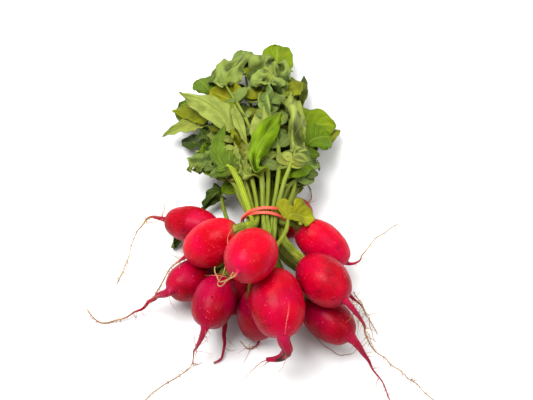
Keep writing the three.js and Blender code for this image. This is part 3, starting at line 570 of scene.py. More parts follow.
def stalk_line(radish, leaf, index):
    seat = radish[5]
    offset = round_neck(math.radians(STALK_ANGLES[index]), STALK_SPREAD)
    base = vec(*leaf["base"], lies_at(leaf, seat)[0])
    if "loose" in leaf["looks"]:
        return tied_line(radish, base, offset, TIED_STEPS + STALK_STEPS)
    middle = vec(0, 0, NECK_HEIGHT)
    seat_point = middle + vec(0, NECK_PLACE, 0) + seat_offset(seat) + offset
    tied = tied_line(radish, seat_point, offset, TIED_STEPS)
    start = middle + (seat_offset(seat) + offset) * TIED_SPREAD + vec(0, TIED_STRETCH, 0)
    reach = np.linalg.norm(start - base)
    ahead = start + vec(0, TIED_ENTER * reach, 0) + seat_offset(seat) * FREE_SPREAD
    return tied + [quadratic(start, ahead, base, step / STALK_STEPS) for step in range(STALK_STEPS + 1)]


def blade_net(leaf, grid, start, heading, tip_height):
    outline, cup, ripple, waves = FORMS[leaf["form"]]
    rows, columns = grid
    tip = vec(*leaf["tip"], tip_height)
    length = np.linalg.norm(tip - start)
    bend = start + heading * BLADE_BEND * length
    net = np.zeros((rows, columns, 3))
    for row in range(rows):
        t = row / (rows - 1)
        along = unit((bend - start) * (1 - t) + (tip - bend) * t)
        across = unit(vec(along[1], -along[0], 0))
        half = np.interp(t * (len(outline) - 1), range(len(outline)), outline) * leaf["width"] / 2
        for column in range(columns):
            side = 2 * column / (columns - 1) - 1
            wave = math.sin(2 * math.pi * waves * t + WAVE_SHIFT * np.sign(side))
            lift = (cup * abs(side) + ripple * wave * side * side) * leaf["width"] / 2
            rise = lift * min(1, CUP_START * t) + BLADE_ARCH * length * math.sin(math.pi * t)
            net[row, column] = quadratic(start, bend, tip, t) + across * side * half + vec(0, 0, rise)
    return net


def inner_leaf(number, place, draws):
    low, high = INNER_FANS[number]
    heading = math.radians(low + (high - low) * place / (INNER_LEAVES - 1))
    reach = INNER_REACHES[(place + number) % len(INNER_REACHES)] + INNER_REACH_DRAW * (next(draws) - 0.5)
    blade = drawn(*INNER_BLADE, draws)
    base = (math.sin(heading) * reach, math.cos(heading) * reach)
    turn = heading * INNER_TURN
    tip = (base[0] + math.sin(turn) * blade, base[1] + math.cos(turn) * blade)
    form = INNER_FORMS[int(next(draws) * len(INNER_FORMS))]
    width = drawn(*INNER_WIDTH, draws)
    tone = INNER_TONES[(number + place) % len(INNER_TONES)]
    return {"base": base, "tip": tip, "width": width, "form": form, "tone": tone,
            "looks": {"crumple": 0.35}, "grid": INNER_GRID}


def leaves_of(number, draws):
    names = ("base", "tip", "width", "form", "tone", "looks")
    leaves = [dict(zip(names, row), grid=SHOWN_GRID) for row in SHOWN_LEAVES.get(number, [])]
    while len(leaves) < INNER_LEAVES:
        leaves.append(inner_leaf(number, len(leaves), draws))
    return leaves


class Node:
    """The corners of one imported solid, to read how high each leaf lies."""

    def __init__(self, name):
        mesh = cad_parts[name].data
        corners = np.array([vertex.co for vertex in mesh.vertices]) / MM - DESIGN_ORIGIN
        self.corners = corners
        self.tree = KDTree(len(corners))
        for index, corner in enumerate(corners):
            self.tree.insert((corner[0], corner[1], 0), index)
        self.tree.balance()

    def near(self, point, reach):
        found = self.tree.find_range((point[0], point[1], 0), reach)
        return self.corners[[index for _, index, _ in found]] if found else np.zeros((0, 3))


def neighbour_mean(grid):
    padded = np.pad(grid, 1, mode="edge")
    return (padded[:-2, 1:-1] + padded[2:, 1:-1] + padded[1:-1, :-2] + padded[1:-1, 2:]) / 4


def settle_net(net, node):
    """Moves the net to the heights of the solid; a corner that joining took away follows its neighbours."""
    rows, columns = net.shape[:2]
    lifts = np.full((rows, columns), np.nan)
    for row in range(rows):
        for column in range(columns):
            found = node.near(net[row, column], CORNER_REACH)
            if len(found) > 1:
                lifts[row, column] = found[:, 2].max() - BLADE_THICKNESS / 2 - net[row, column, 2]
    known = ~np.isnan(lifts)
    lifts = np.where(known, lifts, np.nanmean(lifts) if known.any() else 0)
    for _ in range(SPREAD_ROUNDS):
        lifts = np.where(known, lifts, neighbour_mean(lifts))
    net[:, :, 2] += lifts + SPREAD_SHARE * (neighbour_mean(lifts) - lifts)


def settle_line(line, node, base):
    """Puts the free points of a stalk at the heights of the solid."""
    line[-1] = base
    first = TIED_STEPS + 2
    fixed, last = line[first - 1], line[-1]
    for index in range(first, len(line) - 1):
        share = (index - first + 1) / (len(line) - first)
        height = guess = fixed[2] + (last[2] - fixed[2]) * share
        best = GUESS_REACH
        heights = sorted(node.near(line[index], STALK_RADIUS + STALK_MARGIN)[:, 2])
        for low in heights:
            group = [h for h in heights if 0 <= h - low <= 2 * STALK_RADIUS]
            middle = sum(group) / len(group)
            if len(group) == STALK_CORNERS and abs(middle - guess) < best:
                best, height = abs(middle - guess), middle
        line[index] = vec(line[index][0], line[index][1], height)


# ---- Leaves ----
BLADE_ROWS, BLADE_COLUMNS, BLADE_HALF, BLADE_LIFT = 72, 33, 0.28, 0.6
PLAIN_CRUMPLE, MILD_CRUMPLE, PLAIN_SPOTS = 0.12, 0.3, 0.1
TOOTH_DEPTH, TOOTH_RATE, FRILL_RATE = 0.03, (16, 24), (18, 30)
RAGGED, RAGGED_MORE, RAGGED_SIZE = 0.05, 0.12, 0.4
NOTCH_DEPTH, NOTCH_PLACE, NOTCH_SHIFT, NOTCH_WIDTH = 0.5, 0.6, 0.12, 0.06  # of a trefoil
ROUND_START, ROUND_LENGTH, TIP_WIDTH = 0.82, 0.18, 0.02
VEIN_PAIRS, VEIN_SLANT, QUILT, GROOVE, GROOVE_WIDTH = 7, 0.32, 0.02, -0.6, 0.09
FOLD_SIZE, CREST_SIZE, SMALL_SIZE = 24, 13, 7  # of the folds of a crumpled blade, and then their heights
FOLD_HEIGHT, CREST_HEIGHT, SMALL_HEIGHT = 1.8, 2.6, 0.9
STALK_RINGS, STALK_SIDES, STALK_RIBS, STALK_RIB_DEPTH = 70, 14, 5, 0.06
RIB_RISE, RIB_JOIN, RIB_STEP = {True: 0.35, False: -0.55}, 4, 2  # rise by whether the underside is up
STALK_FULL, STALK_SWELL, STALK_THINS, RIB_THINS = 1.25, 0.35, 0.45, 0.8
STALK_GREENS, STALK_TINT = ((84, 100, 14), (128, 140, 34)), 0.4  # the tint is the blade's tone
STALK_RED, STALK_BLUSH = (120, 40, 40), 0.35  # at the base
BRIGHT_STALK, BRIGHT_GREEN = 1.5, (142, 160, 26)  # a thicker stalk than that is bright
LEAN_SHARES = {3: 0.5, 4: 1.0, 5: 0.8, 6: 0.35}  # how far each point of a stalk goes with its lean
LOBE_ROWS, LOBE_COLUMNS, LOBE_PLACES, LOBE_SEED = 12, 7, (0.66, 0.8, 0.865, 0.93), 1000
LOBES_FROM, LOBE_LENGTH, LOBE_GROWTH, LOBE_WIDTH = 24, (7, 14), (0.7, 0.5), (0.25, 0.4)
LOBE_AHEAD, LOBE_TURN, LOBE_ARCH, LOBE_CUP, LOBE_WAVE = (0.3, 1.0), (-0.5, 0.2), 1.5, 0.9, 0.6
# LOBE_TONE: the share of its leaf's tone that a lobe keeps, darker as painted shade under the blades
LOBE_HALF, LOBE_LIFT, LOBE_TONE, LOBE_SPOTS = 0.25, 0.8, (0.35, 0.9), 0.2
CROWN_RINGS, CROWN_SIDES, CROWN_SUNK, CROWN_MORE = 22, 24, 0.6, 0.8
CROWN_RADIUS, CROWN_THINS, CROWN_END = 4.6, 1.5, 0.7
CROWN_SCARS, CROWN_SCAR_DEPTH, CROWN_LOBES, CROWN_LOBE_DEPTH = 40, 0.05, 4, 0.12
CROWN_BROWN, CROWN_GREEN = (96, 68, 36), (96, 108, 26)
ON_STALK, ON_CROWN = 2.0, 2.02  # where "along" starts; a blade's runs from 0 to 1


def fine_surface(net, rows, columns):
    """The net's smooth surface: Catmull-Rom along, then across."""
    lines = np.array([catmull(net[:, column], np.linspace(0, 1, rows)) for column in range(net.shape[1])])
    return np.array([catmull(lines[:, row], np.linspace(0, 1, columns)) for row in range(rows)])


def surface_normals(surface):
    normals = np.cross(np.gradient(surface, axis=1), np.gradient(surface, axis=0))
    return normals / np.maximum(np.linalg.norm(normals, axis=2), 1e-9)[:, :, None]


def blade_shares(rows, columns):
    """0 to 1 from base to tip, and -1 to 1 across."""
    return np.linspace(0, 1, rows)[:, None], np.linspace(-1, 1, columns)[None, :]


def plane_points(a, b):
    return np.stack(np.broadcast_arrays(a, b, 0 * a), axis=2)


def tone_of(leaf):
    return linear(TONES[leaf["tone"]])


def add_shell(piece, surface, half, tone, **layers):
    """Adds a thin closed blade round the surface."""
    rows, columns = surface.shape[:2]
    rise = surface_normals(surface) * half
    points = np.concatenate([(surface + rise).reshape(-1, 3), (surface - rise).reshape(-1, 3)])
    t, u = np.broadcast_arrays(*blade_shares(rows, columns))
    piece.add(points, shell_faces(rows, columns), tone=tone, along=np.tile(t.ravel(), 2),
              across=np.tile(u.ravel(), 2), **layers)


def blade_edge(leaf, t, u, crumple, seed, rng):
    """How far each place of the blade reaches sideways: teeth, ragged bits, notches and a round tip."""
    side = np.sign(u)
    teeth = np.sin(t * rng.uniform(*TOOTH_RATE) + 2 * side + rng.uniform(0, 6))
    edge = 1 + TOOTH_DEPTH * teeth * np.abs(u) ** 3
    ragged = RAGGED + RAGGED_MORE * max(crumple - MILD_CRUMPLE, 0)
    edge = edge + ragged * Ripple(seed, RAGGED_SIZE)(plane_points(t, u)) * np.abs(u)
    if leaf["form"] == "trefoil":
        place = (t - NOTCH_PLACE - NOTCH_SHIFT * side) / NOTCH_WIDTH
        edge = edge - NOTCH_DEPTH * np.abs(u) * np.exp(-place ** 2)
    tip = ((t - ROUND_START) / ROUND_LENGTH).clip(0)
    return edge * (np.sqrt(np.clip(1 - tip ** 2, 0, 1)) * (1 - TIP_WIDTH) + TIP_WIDTH)


def add_blade(piece, leaf, net, seed):
    """Adds the blade with its folds, and gives its middle line and the normals along it."""
    looks, width = leaf["looks"], leaf["width"]
    length = np.linalg.norm(np.subtract(leaf["tip"], leaf["base"]))
    crumple = looks.get("crumple", PLAIN_CRUMPLE)
    rng = np.random.default_rng(seed)
    t, u = blade_shares(BLADE_ROWS, BLADE_COLUMNS)
    side, outward = np.sign(u), np.abs(u)
    surface = fine_surface(net, BLADE_ROWS, BLADE_COLUMNS)
    middle = surface[:, BLADE_COLUMNS // 2][:, None, :]
    surface = middle + (surface - middle) * blade_edge(leaf, t, u, crumple, seed, rng)[:, :, None]
    flat = plane_points(u * width / 2, t * length / 2)
    crest = np.abs(Ripple(seed + 1, CREST_SIZE)(flat))
    small = np.abs(Ripple(seed + 3, SMALL_SIZE)(flat))
    coarse = Ripple(seed + 2, FOLD_SIZE)(surface)
    veins = np.abs(np.sin(math.pi * (VEIN_PAIRS * (t - VEIN_SLANT * outward) + 0.5)))
    quilt = QUILT * width * (veins ** 0.7 - 0.6) * smooth(0.05, 0.3, outward)
    groove = GROOVE * np.exp(-(u / GROOVE_WIDTH) ** 2) * (1 - t)
    frill = outward ** 4 * np.sin(t * rng.uniform(*FRILL_RATE) + rng.uniform(0, 6) + 1.5 * side)
    folds = FOLD_HEIGHT * coarse + CREST_HEIGHT * (0.45 - crest) + SMALL_HEIGHT * (0.4 - small)
    height = quilt + groove + frill * (0.5 + 2 * crumple) + folds * crumple * smooth(0, 0.15, t)
    # painted shade: the hollows between the crests of a crumpled blade and the low sides of its coarse
    # folds are darkened through this layer
    hollow = smooth(0.35, 1.0, crest) + 0.5 * smooth(0.6, 1.1, small)
    crease = np.clip(crumple * hollow + 0.25 * np.clip(-coarse, 0, 1), 0, 1)
    surface = lifted(surface + surface_normals(surface) * height[:, :, None], BLADE_LIFT)
    back = float(looks.get("back", 0))
    add_shell(piece, surface, BLADE_HALF, tone_of(leaf), crease=np.tile(crease.ravel(), 2),
              back=np.repeat([back, 1 - back], crease.size), spots=looks.get("spots", PLAIN_SPOTS))
    return surface[:, BLADE_COLUMNS // 2], surface_normals(surface)[:, BLADE_COLUMNS // 2]


def add_shoot(piece, points, radii, sides, shades, along):
    """Adds a stalk or a crown, with a tone for each of its rings."""
    shell, faces = tube(points, radii, sides)
    piece.add(shell, faces, tone=np.repeat(shades, sides, axis=0), back=0.5, along=spread(along, sides),
              across=places_round(sides, len(points)))


def add_stalk(piece, leaf, line, midrib, normals, seed):
    """The stalk from the crown to the blade, running on as its midrib."""
    looks = leaf["looks"]
    thick = looks.get("thick", 1.0)
    rib = midrib + normals * RIB_RISE["back" in looks]
    stalk = catmull(line, np.linspace(0, 1, STALK_RINGS))
    points = np.concatenate([stalk[:-2], rib[RIB_JOIN::RIB_STEP]])
    runs = run_lengths(points)
    base_run = runs[len(stalk) - 2]
    share = np.clip(runs / base_run, 0, 1)
    beyond = np.clip((runs - base_run) / max(runs[-1] - base_run, TINY), 0, 1)
    radii = STALK_RADIUS * (STALK_FULL + (thick - 1) * smooth(0.25, 0.5, share))
    radii = radii * (1 + STALK_SWELL * (1 - smooth(0.05, 0.35, share)))
    radii = radii * (1 - STALK_THINS * smooth(0.8, 1, share)) * (1 - RIB_THINS * beyond ** 0.6)
    ribs = 1 + STALK_RIB_DEPTH * np.cos(circle(STALK_SIDES) * STALK_RIBS + seed)[None, :]
    pale = np.random.default_rng(seed).uniform(0, 1)
    green = linear(STALK_GREENS[0]) * (1 - pale) + linear(STALK_GREENS[1]) * pale
    tone = tone_of(leaf) * STALK_TINT + green * (1 - STALK_TINT)
    if thick > BRIGHT_STALK:
        tone = linear(BRIGHT_GREEN)
    blush = (STALK_BLUSH * (1 - smooth(0, 0.1, share)))[:, None]
    shades = tone * (1 - blush) + linear(STALK_RED) * blush
    if "loose" not in looks:
        add_lobes(piece, leaf, stalk, seed)
    add_shoot(piece, points, radii[:, None] * ribs, STALK_SIDES, shades, ON_STALK + share)


def add_lobes(piece, leaf, stalk, seed):
    """The small lobes in pairs on the upper stalk."""
    rng = np.random.default_rng(LOBE_SEED + seed)
    t, u = blade_shares(LOBE_ROWS, LOBE_COLUMNS)
    rise = vec(0, 0, 1)
    for share in LOBE_PLACES:
        place = int(share * (len(stalk) - 1))
        ahead = unit(stalk[place + 1] - stalk[place])
        if stalk[place][1] < LOBES_FROM:
            continue
        for side in (-1, 1):
            out = unit(np.cross(ahead, rise)) * side
            reach = rng.uniform(*LOBE_LENGTH) * (LOBE_GROWTH[0] + LOBE_GROWTH[1] * share)
            way = unit(out + ahead * rng.uniform(*LOBE_AHEAD) + rise * rng.uniform(*LOBE_TURN))
            half = reach * rng.uniform(*LOBE_WIDTH) * np.sin(math.pi * np.clip(t, 0.03, 0.98)) ** 0.7
            arch = rise * (LOBE_ARCH * np.sin(math.pi * t))[:, :, None]
            spine = stalk[place] + way * (t * reach)[:, :, None] + arch
            surface = spine + unit(np.cross(way, rise)) * (half * u)[:, :, None]
            lift = LOBE_CUP * np.abs(u) + LOBE_WAVE * Ripple(seed + 5, 6)(surface)
            surface = lifted(surface + rise * lift[:, :, None], LOBE_LIFT)
            # each lobe is darker than its leaf: painted shade where the lobes lie among the stalks under
            # the blades
            tone = tone_of(leaf) * rng.uniform(*LOBE_TONE)
            add_shell(piece, surface, LOBE_HALF, tone, spots=LOBE_SPOTS)


def add_crown(piece, radish):
    """The green stub between the root and its stalks, with the ring scars of older leaves."""
    centre, heading, rise, length = radish[:4]
    away = -tail_direction(heading, rise)
    start = vec(*centre) + away * (length / 2 - CROWN_SUNK)
    shares = np.linspace(0, 1, CROWN_RINGS)
    points = start + away * (shares * (CROWN_LENGTH + CROWN_MORE))[:, None]
    radii = CROWN_RADIUS - CROWN_THINS * shares ** 0.8
    radii = radii * (1 + CROWN_SCAR_DEPTH * np.sin(shares * CROWN_SCARS))
    radii[-1] *= CROWN_END
    lobes = np.cos(circle(CROWN_SIDES) * CROWN_LOBES + 0.7)[None, :]
    lobes = 1 + CROWN_LOBE_DEPTH * shares[:, None] * lobes
    brown, green = linear(CROWN_BROWN), linear(CROWN_GREEN)
    shades = brown + (green - brown) * smooth(0.1, 0.6, shares)[:, None]
    add_shoot(piece, points, radii[:, None] * lobes, CROWN_SIDES, shades, ON_CROWN + 0.1 * shares)


def leafy_top(number, radish, draws, material):
    name = f"leaves_{number:02d}"
    node = Node(name)
    piece = Piece()
    add_crown(piece, radish)
    for index, leaf in enumerate(leaves_of(number, draws)):
        seed = number * 10 + index
        line = stalk_line(radish, leaf, index)
        heading = line[-1] - line[-2]
        heading = unit(vec(heading[0], heading[1], 0))
        net = blade_net(leaf, leaf["grid"], line[-1], heading, lies_at(leaf, radish[5])[1])
        settle_net(net, node)
        middle = net[0, net.shape[1] // 2]
        if "loose" in leaf["looks"]:
            line[-1] = middle
        else:
            settle_line(line, node, middle)
        for point, share in LEAN_SHARES.items():
            line[point] = line[point] + vec(leaf["looks"].get("lean", 0) * share, 0, 0)
        midrib, normals = add_blade(piece, leaf, net, seed)
        add_stalk(piece, leaf, line, midrib, normals, seed)
    piece.make(f"leafy_top_{number:02d}", name, material)


# ---- Rubber band ----
BAND_RINGS, BAND_SIDES, BAND_FULLER = 360, 16, (1.1, 1.05)  # fuller than the solid: thickness, width
BAND_WOBBLES = ((1.5, 1, 0.25), (3.5, 0, 0.15))  # rate, shift and height of each


def band_piece():
    turn = np.arange(BAND_RINGS) / BAND_RINGS * 4 * math.pi
    angle = turn + math.radians(BAND_TURNS_CROSS) + math.pi
    wobble = sum(height * np.sin(turn * rate + shift) for rate, shift, height in BAND_WOBBLES)
    c, s = np.cos(circle(BAND_SIDES)), np.sin(circle(BAND_SIDES))
    square = (np.abs(c) ** 4 + np.abs(s) ** 4) ** -0.25
    radius = (BAND_RADIUS + BAND_CROSS * np.sin(turn / 2))[:, None]
    radius = radius + BAND_HALF_THICKNESS * BAND_FULLER[0] * (c * square)[None, :]
    along = (NECK_PLACE + BAND_TURNS_LEAD * np.cos(turn / 2) + wobble)[:, None]
    along = along - BAND_HALF_WIDTH * BAND_FULLER[1] * (s * square)[None, :]
    points = np.stack([np.cos(angle)[:, None] * radius, along,
                       NECK_HEIGHT + np.sin(angle)[:, None] * radius], axis=2)
    count = BAND_RINGS * BAND_SIDES
    faces = [tuple(i % count for i in face[::-1])
             for face in grid_faces(BAND_RINGS + 1, BAND_SIDES, wrap=True)]
    piece = Piece()
    piece.add(points.reshape(-1, 3), faces, along=spread(turn, BAND_SIDES),
              across=places_round(BAND_SIDES, BAND_RINGS))
    piece.make("rubber_band_loop", "rubber_band", band_material())


# ---- Materials ----
class Graph:
    """A material's nodes, made in a few words."""

    def __init__(self, name):
        self.material = bpy.data.materials.new(name)
        self.material.use_nodes = True
        self.tree = self.material.node_tree
        self.shader = self.tree.nodes["Principled BSDF"]

    def node(self, kind, inputs=(), **settings):
        node = self.tree.nodes.new(kind)
        for key, value in settings.items():
            setattr(node, key, value)
        for key, value in dict(inputs).items():
            self.put(node.inputs[key], value)
        return node

    def put(self, socket, value):
        if isinstance(value, bpy.types.NodeSocket):
            self.tree.links.new(value, socket)
        else:
            socket.default_value = value

    def shade(self, values):
        """Sets the shader's own sockets, and gives the finished material."""
        for key, value in values.items():
            self.put(self.shader.inputs[key], value)
        return self.material

    def layer(self, name):
        node = self.node("ShaderNodeAttribute", attribute_name=name)
        return node.outputs["Color" if name == "tone" else "Fac"]

    def math(self, operation, a, b=0.0):
        node = self.node("ShaderNodeMath", operation=operation)
        self.put(node.inputs[0], a)
        self.put(node.inputs[1], b)
        return node.outputs[0]

    def plus(self, a, b):
        return self.math("ADD", a, b)

    def minus(self, a, b):
        return self.math("SUBTRACT", a, b)

    def times(self, a, *others):
        for other in others:
            a = self.math("MULTIPLY", a, other)
        return a

    def larger(self, a, b):
        return self.math("MAXIMUM", a, b)

    def size_of(self, a):
        return self.math("ABSOLUTE", a)

    def ramp(self, value, low, high, to_low=0.0, to_high=1.0):
        return self.node("ShaderNodeMapRange", {
            "Value": value, "From Min": low, "From Max": high, "To Min": to_low, "To Max": to_high,
        }, interpolation_type="SMOOTHSTEP").outputs["Result"]

    def clouds(self, noise, *ends):
        """A ramp of noise, given by its scale, detail and roughness."""
        return self.ramp(self.noise(*noise), *ends)

    def mix(self, share, a, b, blend="MIX"):
        node = self.node("ShaderNodeMix", data_type="RGBA", blend_type=blend)
        self.put(node.inputs["Factor"], share)
        colours = [socket for socket in node.inputs if socket.type == "RGBA"]
        for socket, value in zip(colours, (a, b)):
            self.put(socket, value)
        return [socket for socket in node.outputs if socket.type == "RGBA"][0]

    def marked(self, colour, **shares):
        """The colour with each mark laid over it in turn, by its share."""
        for mark, share in shares.items():
            colour = self.mix(share, colour, rgba(MARKS[mark]))
        return colour

    def place(self):
        return self.node("ShaderNodeTexCoord").outputs["Object"]

    def shifted(self, distance):
        inputs = {"Vector": self.place(), "Location": (distance, 0, 0)}
        return self.node("ShaderNodeMapping", inputs).outputs[0]

    def joined(self, x, y, z):
        return self.node("ShaderNodeCombineXYZ", {"X": x, "Y": y, "Z": z}).outputs[0]

    def noise(self, scale, detail=3.0, rough=0.55, where=None):
        return self.node("ShaderNodeTexNoise", {
            "Vector": where or self.place(), "Scale": scale, "Detail": detail, "Roughness": rough,
        }).outputs["Fac"]

    def cells(self, scale, feature="F1"):
        return self.node("ShaderNodeTexVoronoi", {"Vector": self.place(), "Scale": scale},
                         feature=feature).outputs["Distance"]

    def bump(self, height, strength, distance, below=None):
        inputs = {"Height": height, "Strength": strength, "Distance": distance}
        if below:
            inputs["Normal"] = below
        return self.node("ShaderNodeBump", inputs).outputs["Normal"]


def rgba(rgb):
    return (*linear(rgb), 1.0)


# the red of each skin, partly its own and partly painted shade, darker for the radishes that lie low in the
# shade of others; and the share of its taproot at which the red gives way to tan
REDS_WITH_SHADE = (152, 170, 168, 144, 132, 154, 130, 132, 164, 148, 134, 140, 145)
ROOT_TAN = (0.3, 0.2, 0.15, 0.6, 0.45, 2.0, 0.5, 0.95, 0.35, 0.35, 0.9, 0.4, 0.1)
SPLIT_ROOT, CRACK_PLACE, CRACK_BOW, CRACK_WANDER = 6, -0.42, 0.035, 0.09
CRACK_BEND, BODY_SHARE = 7.5, 0.35  # of one turn round the skin, for its length
# the dark green mark for the hollows of crumpled leaves is painted shade
MARKS = {
    "fleck": (200, 0, 40), "dust": (210, 74, 96), "pit": (58, 4, 12), "scratch": (84, 8, 28),
    "crown": (112, 66, 40), "join": (176, 24, 70), "taproot": (138, 18, 52), "tan": (168, 140, 88),
    "brown": (128, 84, 56), "crack": (184, 92, 84), "scar": (44, 24, 16), "under": (130, 140, 64),
    "yellow": (138, 128, 12), "vein": (150, 160, 62), "crease": (28, 42, 8), "rib": (46, 60, 6),
    "streak": (132, 142, 50), "spot": (62, 48, 26),
}
BRUISE = (0.62, 0.66, 0.5, 1)  # what a blotch leaves of a leaf's colour
BAND_TONES = ((214, 74, 56), (186, 58, 44))
FLOOR_TONES = ((215, 215, 215), (211, 211, 211))


def skin_marks(g, number, colour, along, lines):
    """Dark lines, flecks, bloom, pale dust, pits and scratches over the red, and the brown at the crown."""
    red = REDS_WITH_SHADE[number - 1]
    colour = g.mix(g.ramp(lines, 0.52, 0.7, 0, 0.35), colour, rgba((red - 60, 0, 10)))
    colour = g.marked(colour, fleck=g.clouds((900, 2), 0.55, 0.75, 0, 0.2))
    bloom = g.ramp(g.noise(26, 2, where=g.shifted(0.11 * number)), 0.5, 0.68, 0, 0.6)
    colour = g.mix(bloom, colour, rgba((red + 12, 0, 52)))
    dust = g.times(g.ramp(g.cells(460), 0.22, 0.08), g.clouds((90, 2), 0.44, 0.6, 0.1, 0.75))
    pits = g.times(g.ramp(g.cells(190), 0.17, 0.06), g.clouds((60, 2), 0.5, 0.56, 0, 0.95))
    scratch = g.ramp(g.size_of(g.minus(g.noise(230, 3, 0.6), 0.5)), 0.022, 0.006)
    scuffed = g.ramp(g.noise(70, 2, where=g.shifted(0.37 * number)), 0.58, 0.64, 0, 0.85)
    crown = g.times(g.ramp(along, 0.07, 0.015), g.ramp(lines, 0.35, 0.6, 0.35, 0.85))
    return g.marked(colour, dust=dust, pit=pits, scratch=g.times(scratch, scuffed), crown=crown), pits


def split_marks(g, colour, along, across):
    """The crack down the side of a split root, and the scar on its bend."""
    bow = g.times(g.math("SINE", g.times(along, CRACK_BEND)), CRACK_BOW)
    wander = g.times(g.minus(g.noise(260, 4, 0.7), 0.5), CRACK_WANDER)
    line = g.size_of(g.minus(g.plus(across, g.plus(bow, wander)), CRACK_PLACE))
    crack = g.times(g.ramp(line, 0.009, 0.003), g.ramp(along, 0.62, 0.85), g.ramp(along, 1.02, 0.97))
    scar = g.times(g.layer("crease"), g.clouds((240, 3, 0.6), 0.36, 0.5))
    return g.marked(colour, crack=crack, scar=scar)


def skin_material(number):
    g = Graph(f"radish_skin_{number:02d}")
    red = REDS_WITH_SHADE[number - 1]
    along, across = g.layer("along"), g.layer("across")
    angle = g.times(across, math.pi)
    round_it = g.joined(g.math("COSINE", angle), g.math("SINE", angle), g.times(along, BODY_SHARE))
    lines = g.noise(9, 4, 0.65, where=round_it)
    # the skin's red holds painted shade: darker on the radishes that lie low in the bunch
    colour = g.mix(g.clouds((55, 3), 0.35, 0.65), rgba((red - 18, 0, 12)), rgba((red + 10, 0, 26)))
    colour, pits = skin_marks(g, number, colour, along, lines)
    join = g.times(g.ramp(along, 0.88, 1.02), g.ramp(along, 1.25, 1.06), 0.25)
    streak = g.clouds((240, 4, 0.6), 0.35, 0.7)
    taproot = g.times(g.ramp(along, 0.99, 1.08), g.ramp(streak, 0, 1, 0.55, 0.95))
    colour = g.marked(colour, join=join, taproot=taproot)
    start = 0.9 + ROOT_TAN[number - 1]
    pale = g.larger(g.ramp(along, start, start + 0.25), g.layer("back"))
    colour = g.mix(pale, colour, g.mix(streak, rgba(MARKS["tan"]), rgba(MARKS["brown"])))
    if number == SPLIT_ROOT:
        colour = split_marks(g, colour, along, across)
    normal = g.bump(lines, 0.45, 0.001)
    normal = g.bump(g.minus(1.0, pits), 0.6, 0.0005, normal)
    normal = g.bump(g.noise(300, 4, 0.6), 0.35, 0.0007, normal)
    return g.shade({
        "Base Color": colour, "Roughness": g.clouds((130, 3), 0.3, 0.7, 0.34, 0.5),
        "Specular IOR Level": 0.1, "Specular Tint": (1.0, 0.25, 0.35, 1.0),
        "Coat Weight": 0.06, "Coat Roughness": 0.26,
        "Normal": g.bump(g.noise(1500, 2), 0.15, 0.0002, normal),
    })


def leaf_veins(g, along, width, on_blade):
    """Midrib, slanting side veins and the fine net between them."""
    slant = g.times(g.math("POWER", width, 0.8), VEIN_SLANT)
    course = g.times(g.minus(along, slant), float(VEIN_PAIRS))
    course = g.plus(course, g.times(g.plus(g.noise(90, 2), -0.5), 0.5))
    nearest = g.size_of(g.minus(g.math("FRACT", course), 0.5))
    side_veins = g.times(g.ramp(nearest, 0.10, 0.02), g.ramp(width, 1.0, 0.6, 0, 0.6))
    net = g.ramp(g.cells(520, "DISTANCE_TO_EDGE"), 0.06, 0.0)
    large = g.larger(side_veins, g.ramp(width, 0.09, 0.03))
    return g.times(g.larger(large, g.times(net, 0.3)), on_blade)


def leaf_material():
    g = Graph("radish_leaf")
    along, across, back, own = g.layer("along"), g.layer("across"), g.layer("back"), g.layer("tone")
    on_blade, on_stalk = g.math("LESS_THAN", along, 1.5), g.math("GREATER_THAN", along, 1.5)
    veins = leaf_veins(g, along, g.size_of(across), on_blade)
    colour = g.mix(back, own, g.marked(own, under=0.4))
    blotch = g.times(g.clouds((70, 4, 0.6), 0.35, 0.7), 0.75)
    colour = g.mix(blotch, colour, g.mix(1.0, colour, BRUISE, "MULTIPLY"))
    yellow = g.times(g.clouds((38, 3), 0.52, 0.72), 0.45)
    colour = g.mix(yellow, colour, g.marked(colour, yellow=0.6))
    # painted shade: darkens the hollows of crumpled blades
    crease = g.times(g.layer("crease"), 0.78)
    ribs = g.times(on_stalk, g.ramp(g.math("SINE", g.times(across, 31.4)), -0.2, 0.9, 0, 0.55))
    grain = g.joined(g.times(across, 5.0), g.times(along, 7.0), g.noise(30, 1))
    streaks = g.times(on_stalk, g.ramp(g.noise(1.6, 3, where=grain), 0.42, 0.62, 0, 0.6))
    spot = g.ramp(g.cells(150), g.times(g.layer("spots"), 0.2), 0.0)
    spot = g.times(spot, g.clouds((45, 2), 0.45, 0.6), on_blade, 0.9)
    colour = g.marked(colour, vein=g.times(veins, 0.28), crease=crease, rib=ribs, streak=streaks,
                      spot=spot)
    relief = g.times(veins, g.minus(g.times(back, 2.0), 1.0))
    normal = g.bump(relief, 0.5, 0.0006)
    normal = g.bump(g.noise(420, 4, 0.6), 0.45, 0.0007, normal)
    return g.shade({
        "Base Color": colour, "Roughness": g.clouds((200, 3), 0.3, 0.7, 0.5, 0.7),
        "Specular IOR Level": 0.16, "Specular Tint": (0.9, 1.0, 0.5, 1.0),
        "Normal": g.bump(ribs, 0.5, 0.0006, normal),
    })


def band_material():
    g = Graph("salmon_rubber")
    grain = g.noise(700, 3)
    colour = g.mix(g.ramp(grain, 0.3, 0.75, 0, 0.5), rgba(BAND_TONES[0]), rgba(BAND_TONES[1]))
    return g.shade({
        "Base Color": colour, "Roughness": g.ramp(grain, 0.3, 0.7, 0.42, 0.6),
        "Specular IOR Level": 0.4, "Normal": g.bump(grain, 0.3, 0.0002),
    })


def floor_material():
    g = Graph("pale_floor")
    colour = g.mix(g.clouds((3, 2), 0.3, 0.7), rgba(FLOOR_TONES[0]), rgba(FLOOR_TONES[1]))
    return g.shade({"Base Color": colour, "Roughness": 0.8})


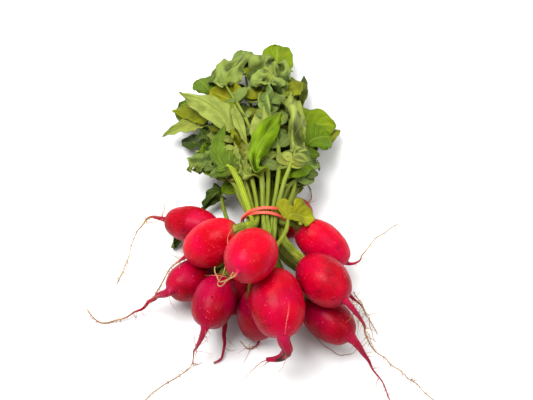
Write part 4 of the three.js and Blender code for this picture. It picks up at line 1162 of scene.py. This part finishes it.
# ---- Stage ----
CAMERA_AIM, CAMERA_DISTANCE, CAMERA_ELEVATION = vec(1, 14, 40), 650.0, 60.0
CAMERA_LENS, CAMERA_SENSOR = 60.0, 36.0
FLOOR_REACH, SKY_STRENGTH = 4, 0.5  # the floor and the lights are in metres
# place, size across and power of each light
LIGHTS = {
    "key": ((-0.3, 0.0, 0.95), 0.6, 16),
    "fill": ((0.6, -0.2, 0.9), 0.8, 6),
    "back": ((0.1, 0.7, 0.95), 0.8, 6),
}


def make_camera():
    data = bpy.data.cameras.new("camera")
    data.lens, data.sensor_width, data.sensor_fit = CAMERA_LENS, CAMERA_SENSOR, "HORIZONTAL"
    camera = placed("camera", data)
    rise = math.radians(CAMERA_ELEVATION)
    aim = CAMERA_AIM + DESIGN_ORIGIN
    camera.location = Vector(aim + CAMERA_DISTANCE * vec(0, -math.cos(rise), math.sin(rise))) * MM
    camera.rotation_euler = (math.pi / 2 - rise, 0, 0)
    bpy.context.scene.camera = camera


def make_light(name, place, size, power):
    data = bpy.data.lights.new(name, "AREA")
    data.shape, data.size, data.energy = "DISK", size, power
    light = placed(name, data)
    light.location = place
    light.rotation_euler = Vector(place).to_track_quat("Z", "Y").to_euler()


def make_stage():
    mesh = bpy.data.meshes.new("floor")
    corners = [(FLOOR_REACH * x, FLOOR_REACH * y, 0) for x, y in ((-1, -1), (1, -1), (1, 1), (-1, 1))]
    mesh.from_pydata(corners, [], [(0, 1, 2, 3)])
    mesh.materials.append(floor_material())
    placed("floor", mesh)
    for name, (place, size, power) in LIGHTS.items():
        make_light(name, place, size, power)
    bpy.context.scene.view_settings.view_transform = "Standard"
    world = bpy.context.scene.world or bpy.data.worlds.new("world")
    bpy.context.scene.world = world
    world.use_nodes = True
    sky = world.node_tree.nodes["Background"]
    sky.inputs["Color"].default_value = (1, 1, 1, 1)
    sky.inputs["Strength"].default_value = SKY_STRENGTH


make_camera()
make_stage()
greenery = leaf_material()
inner_draws = seeded_random(INNER_SEED)
for number, radish in enumerate(RADISHES, 1):
    radish_piece(number, radish)
    leafy_top(number, radish, inner_draws, greenery)
band_piece()
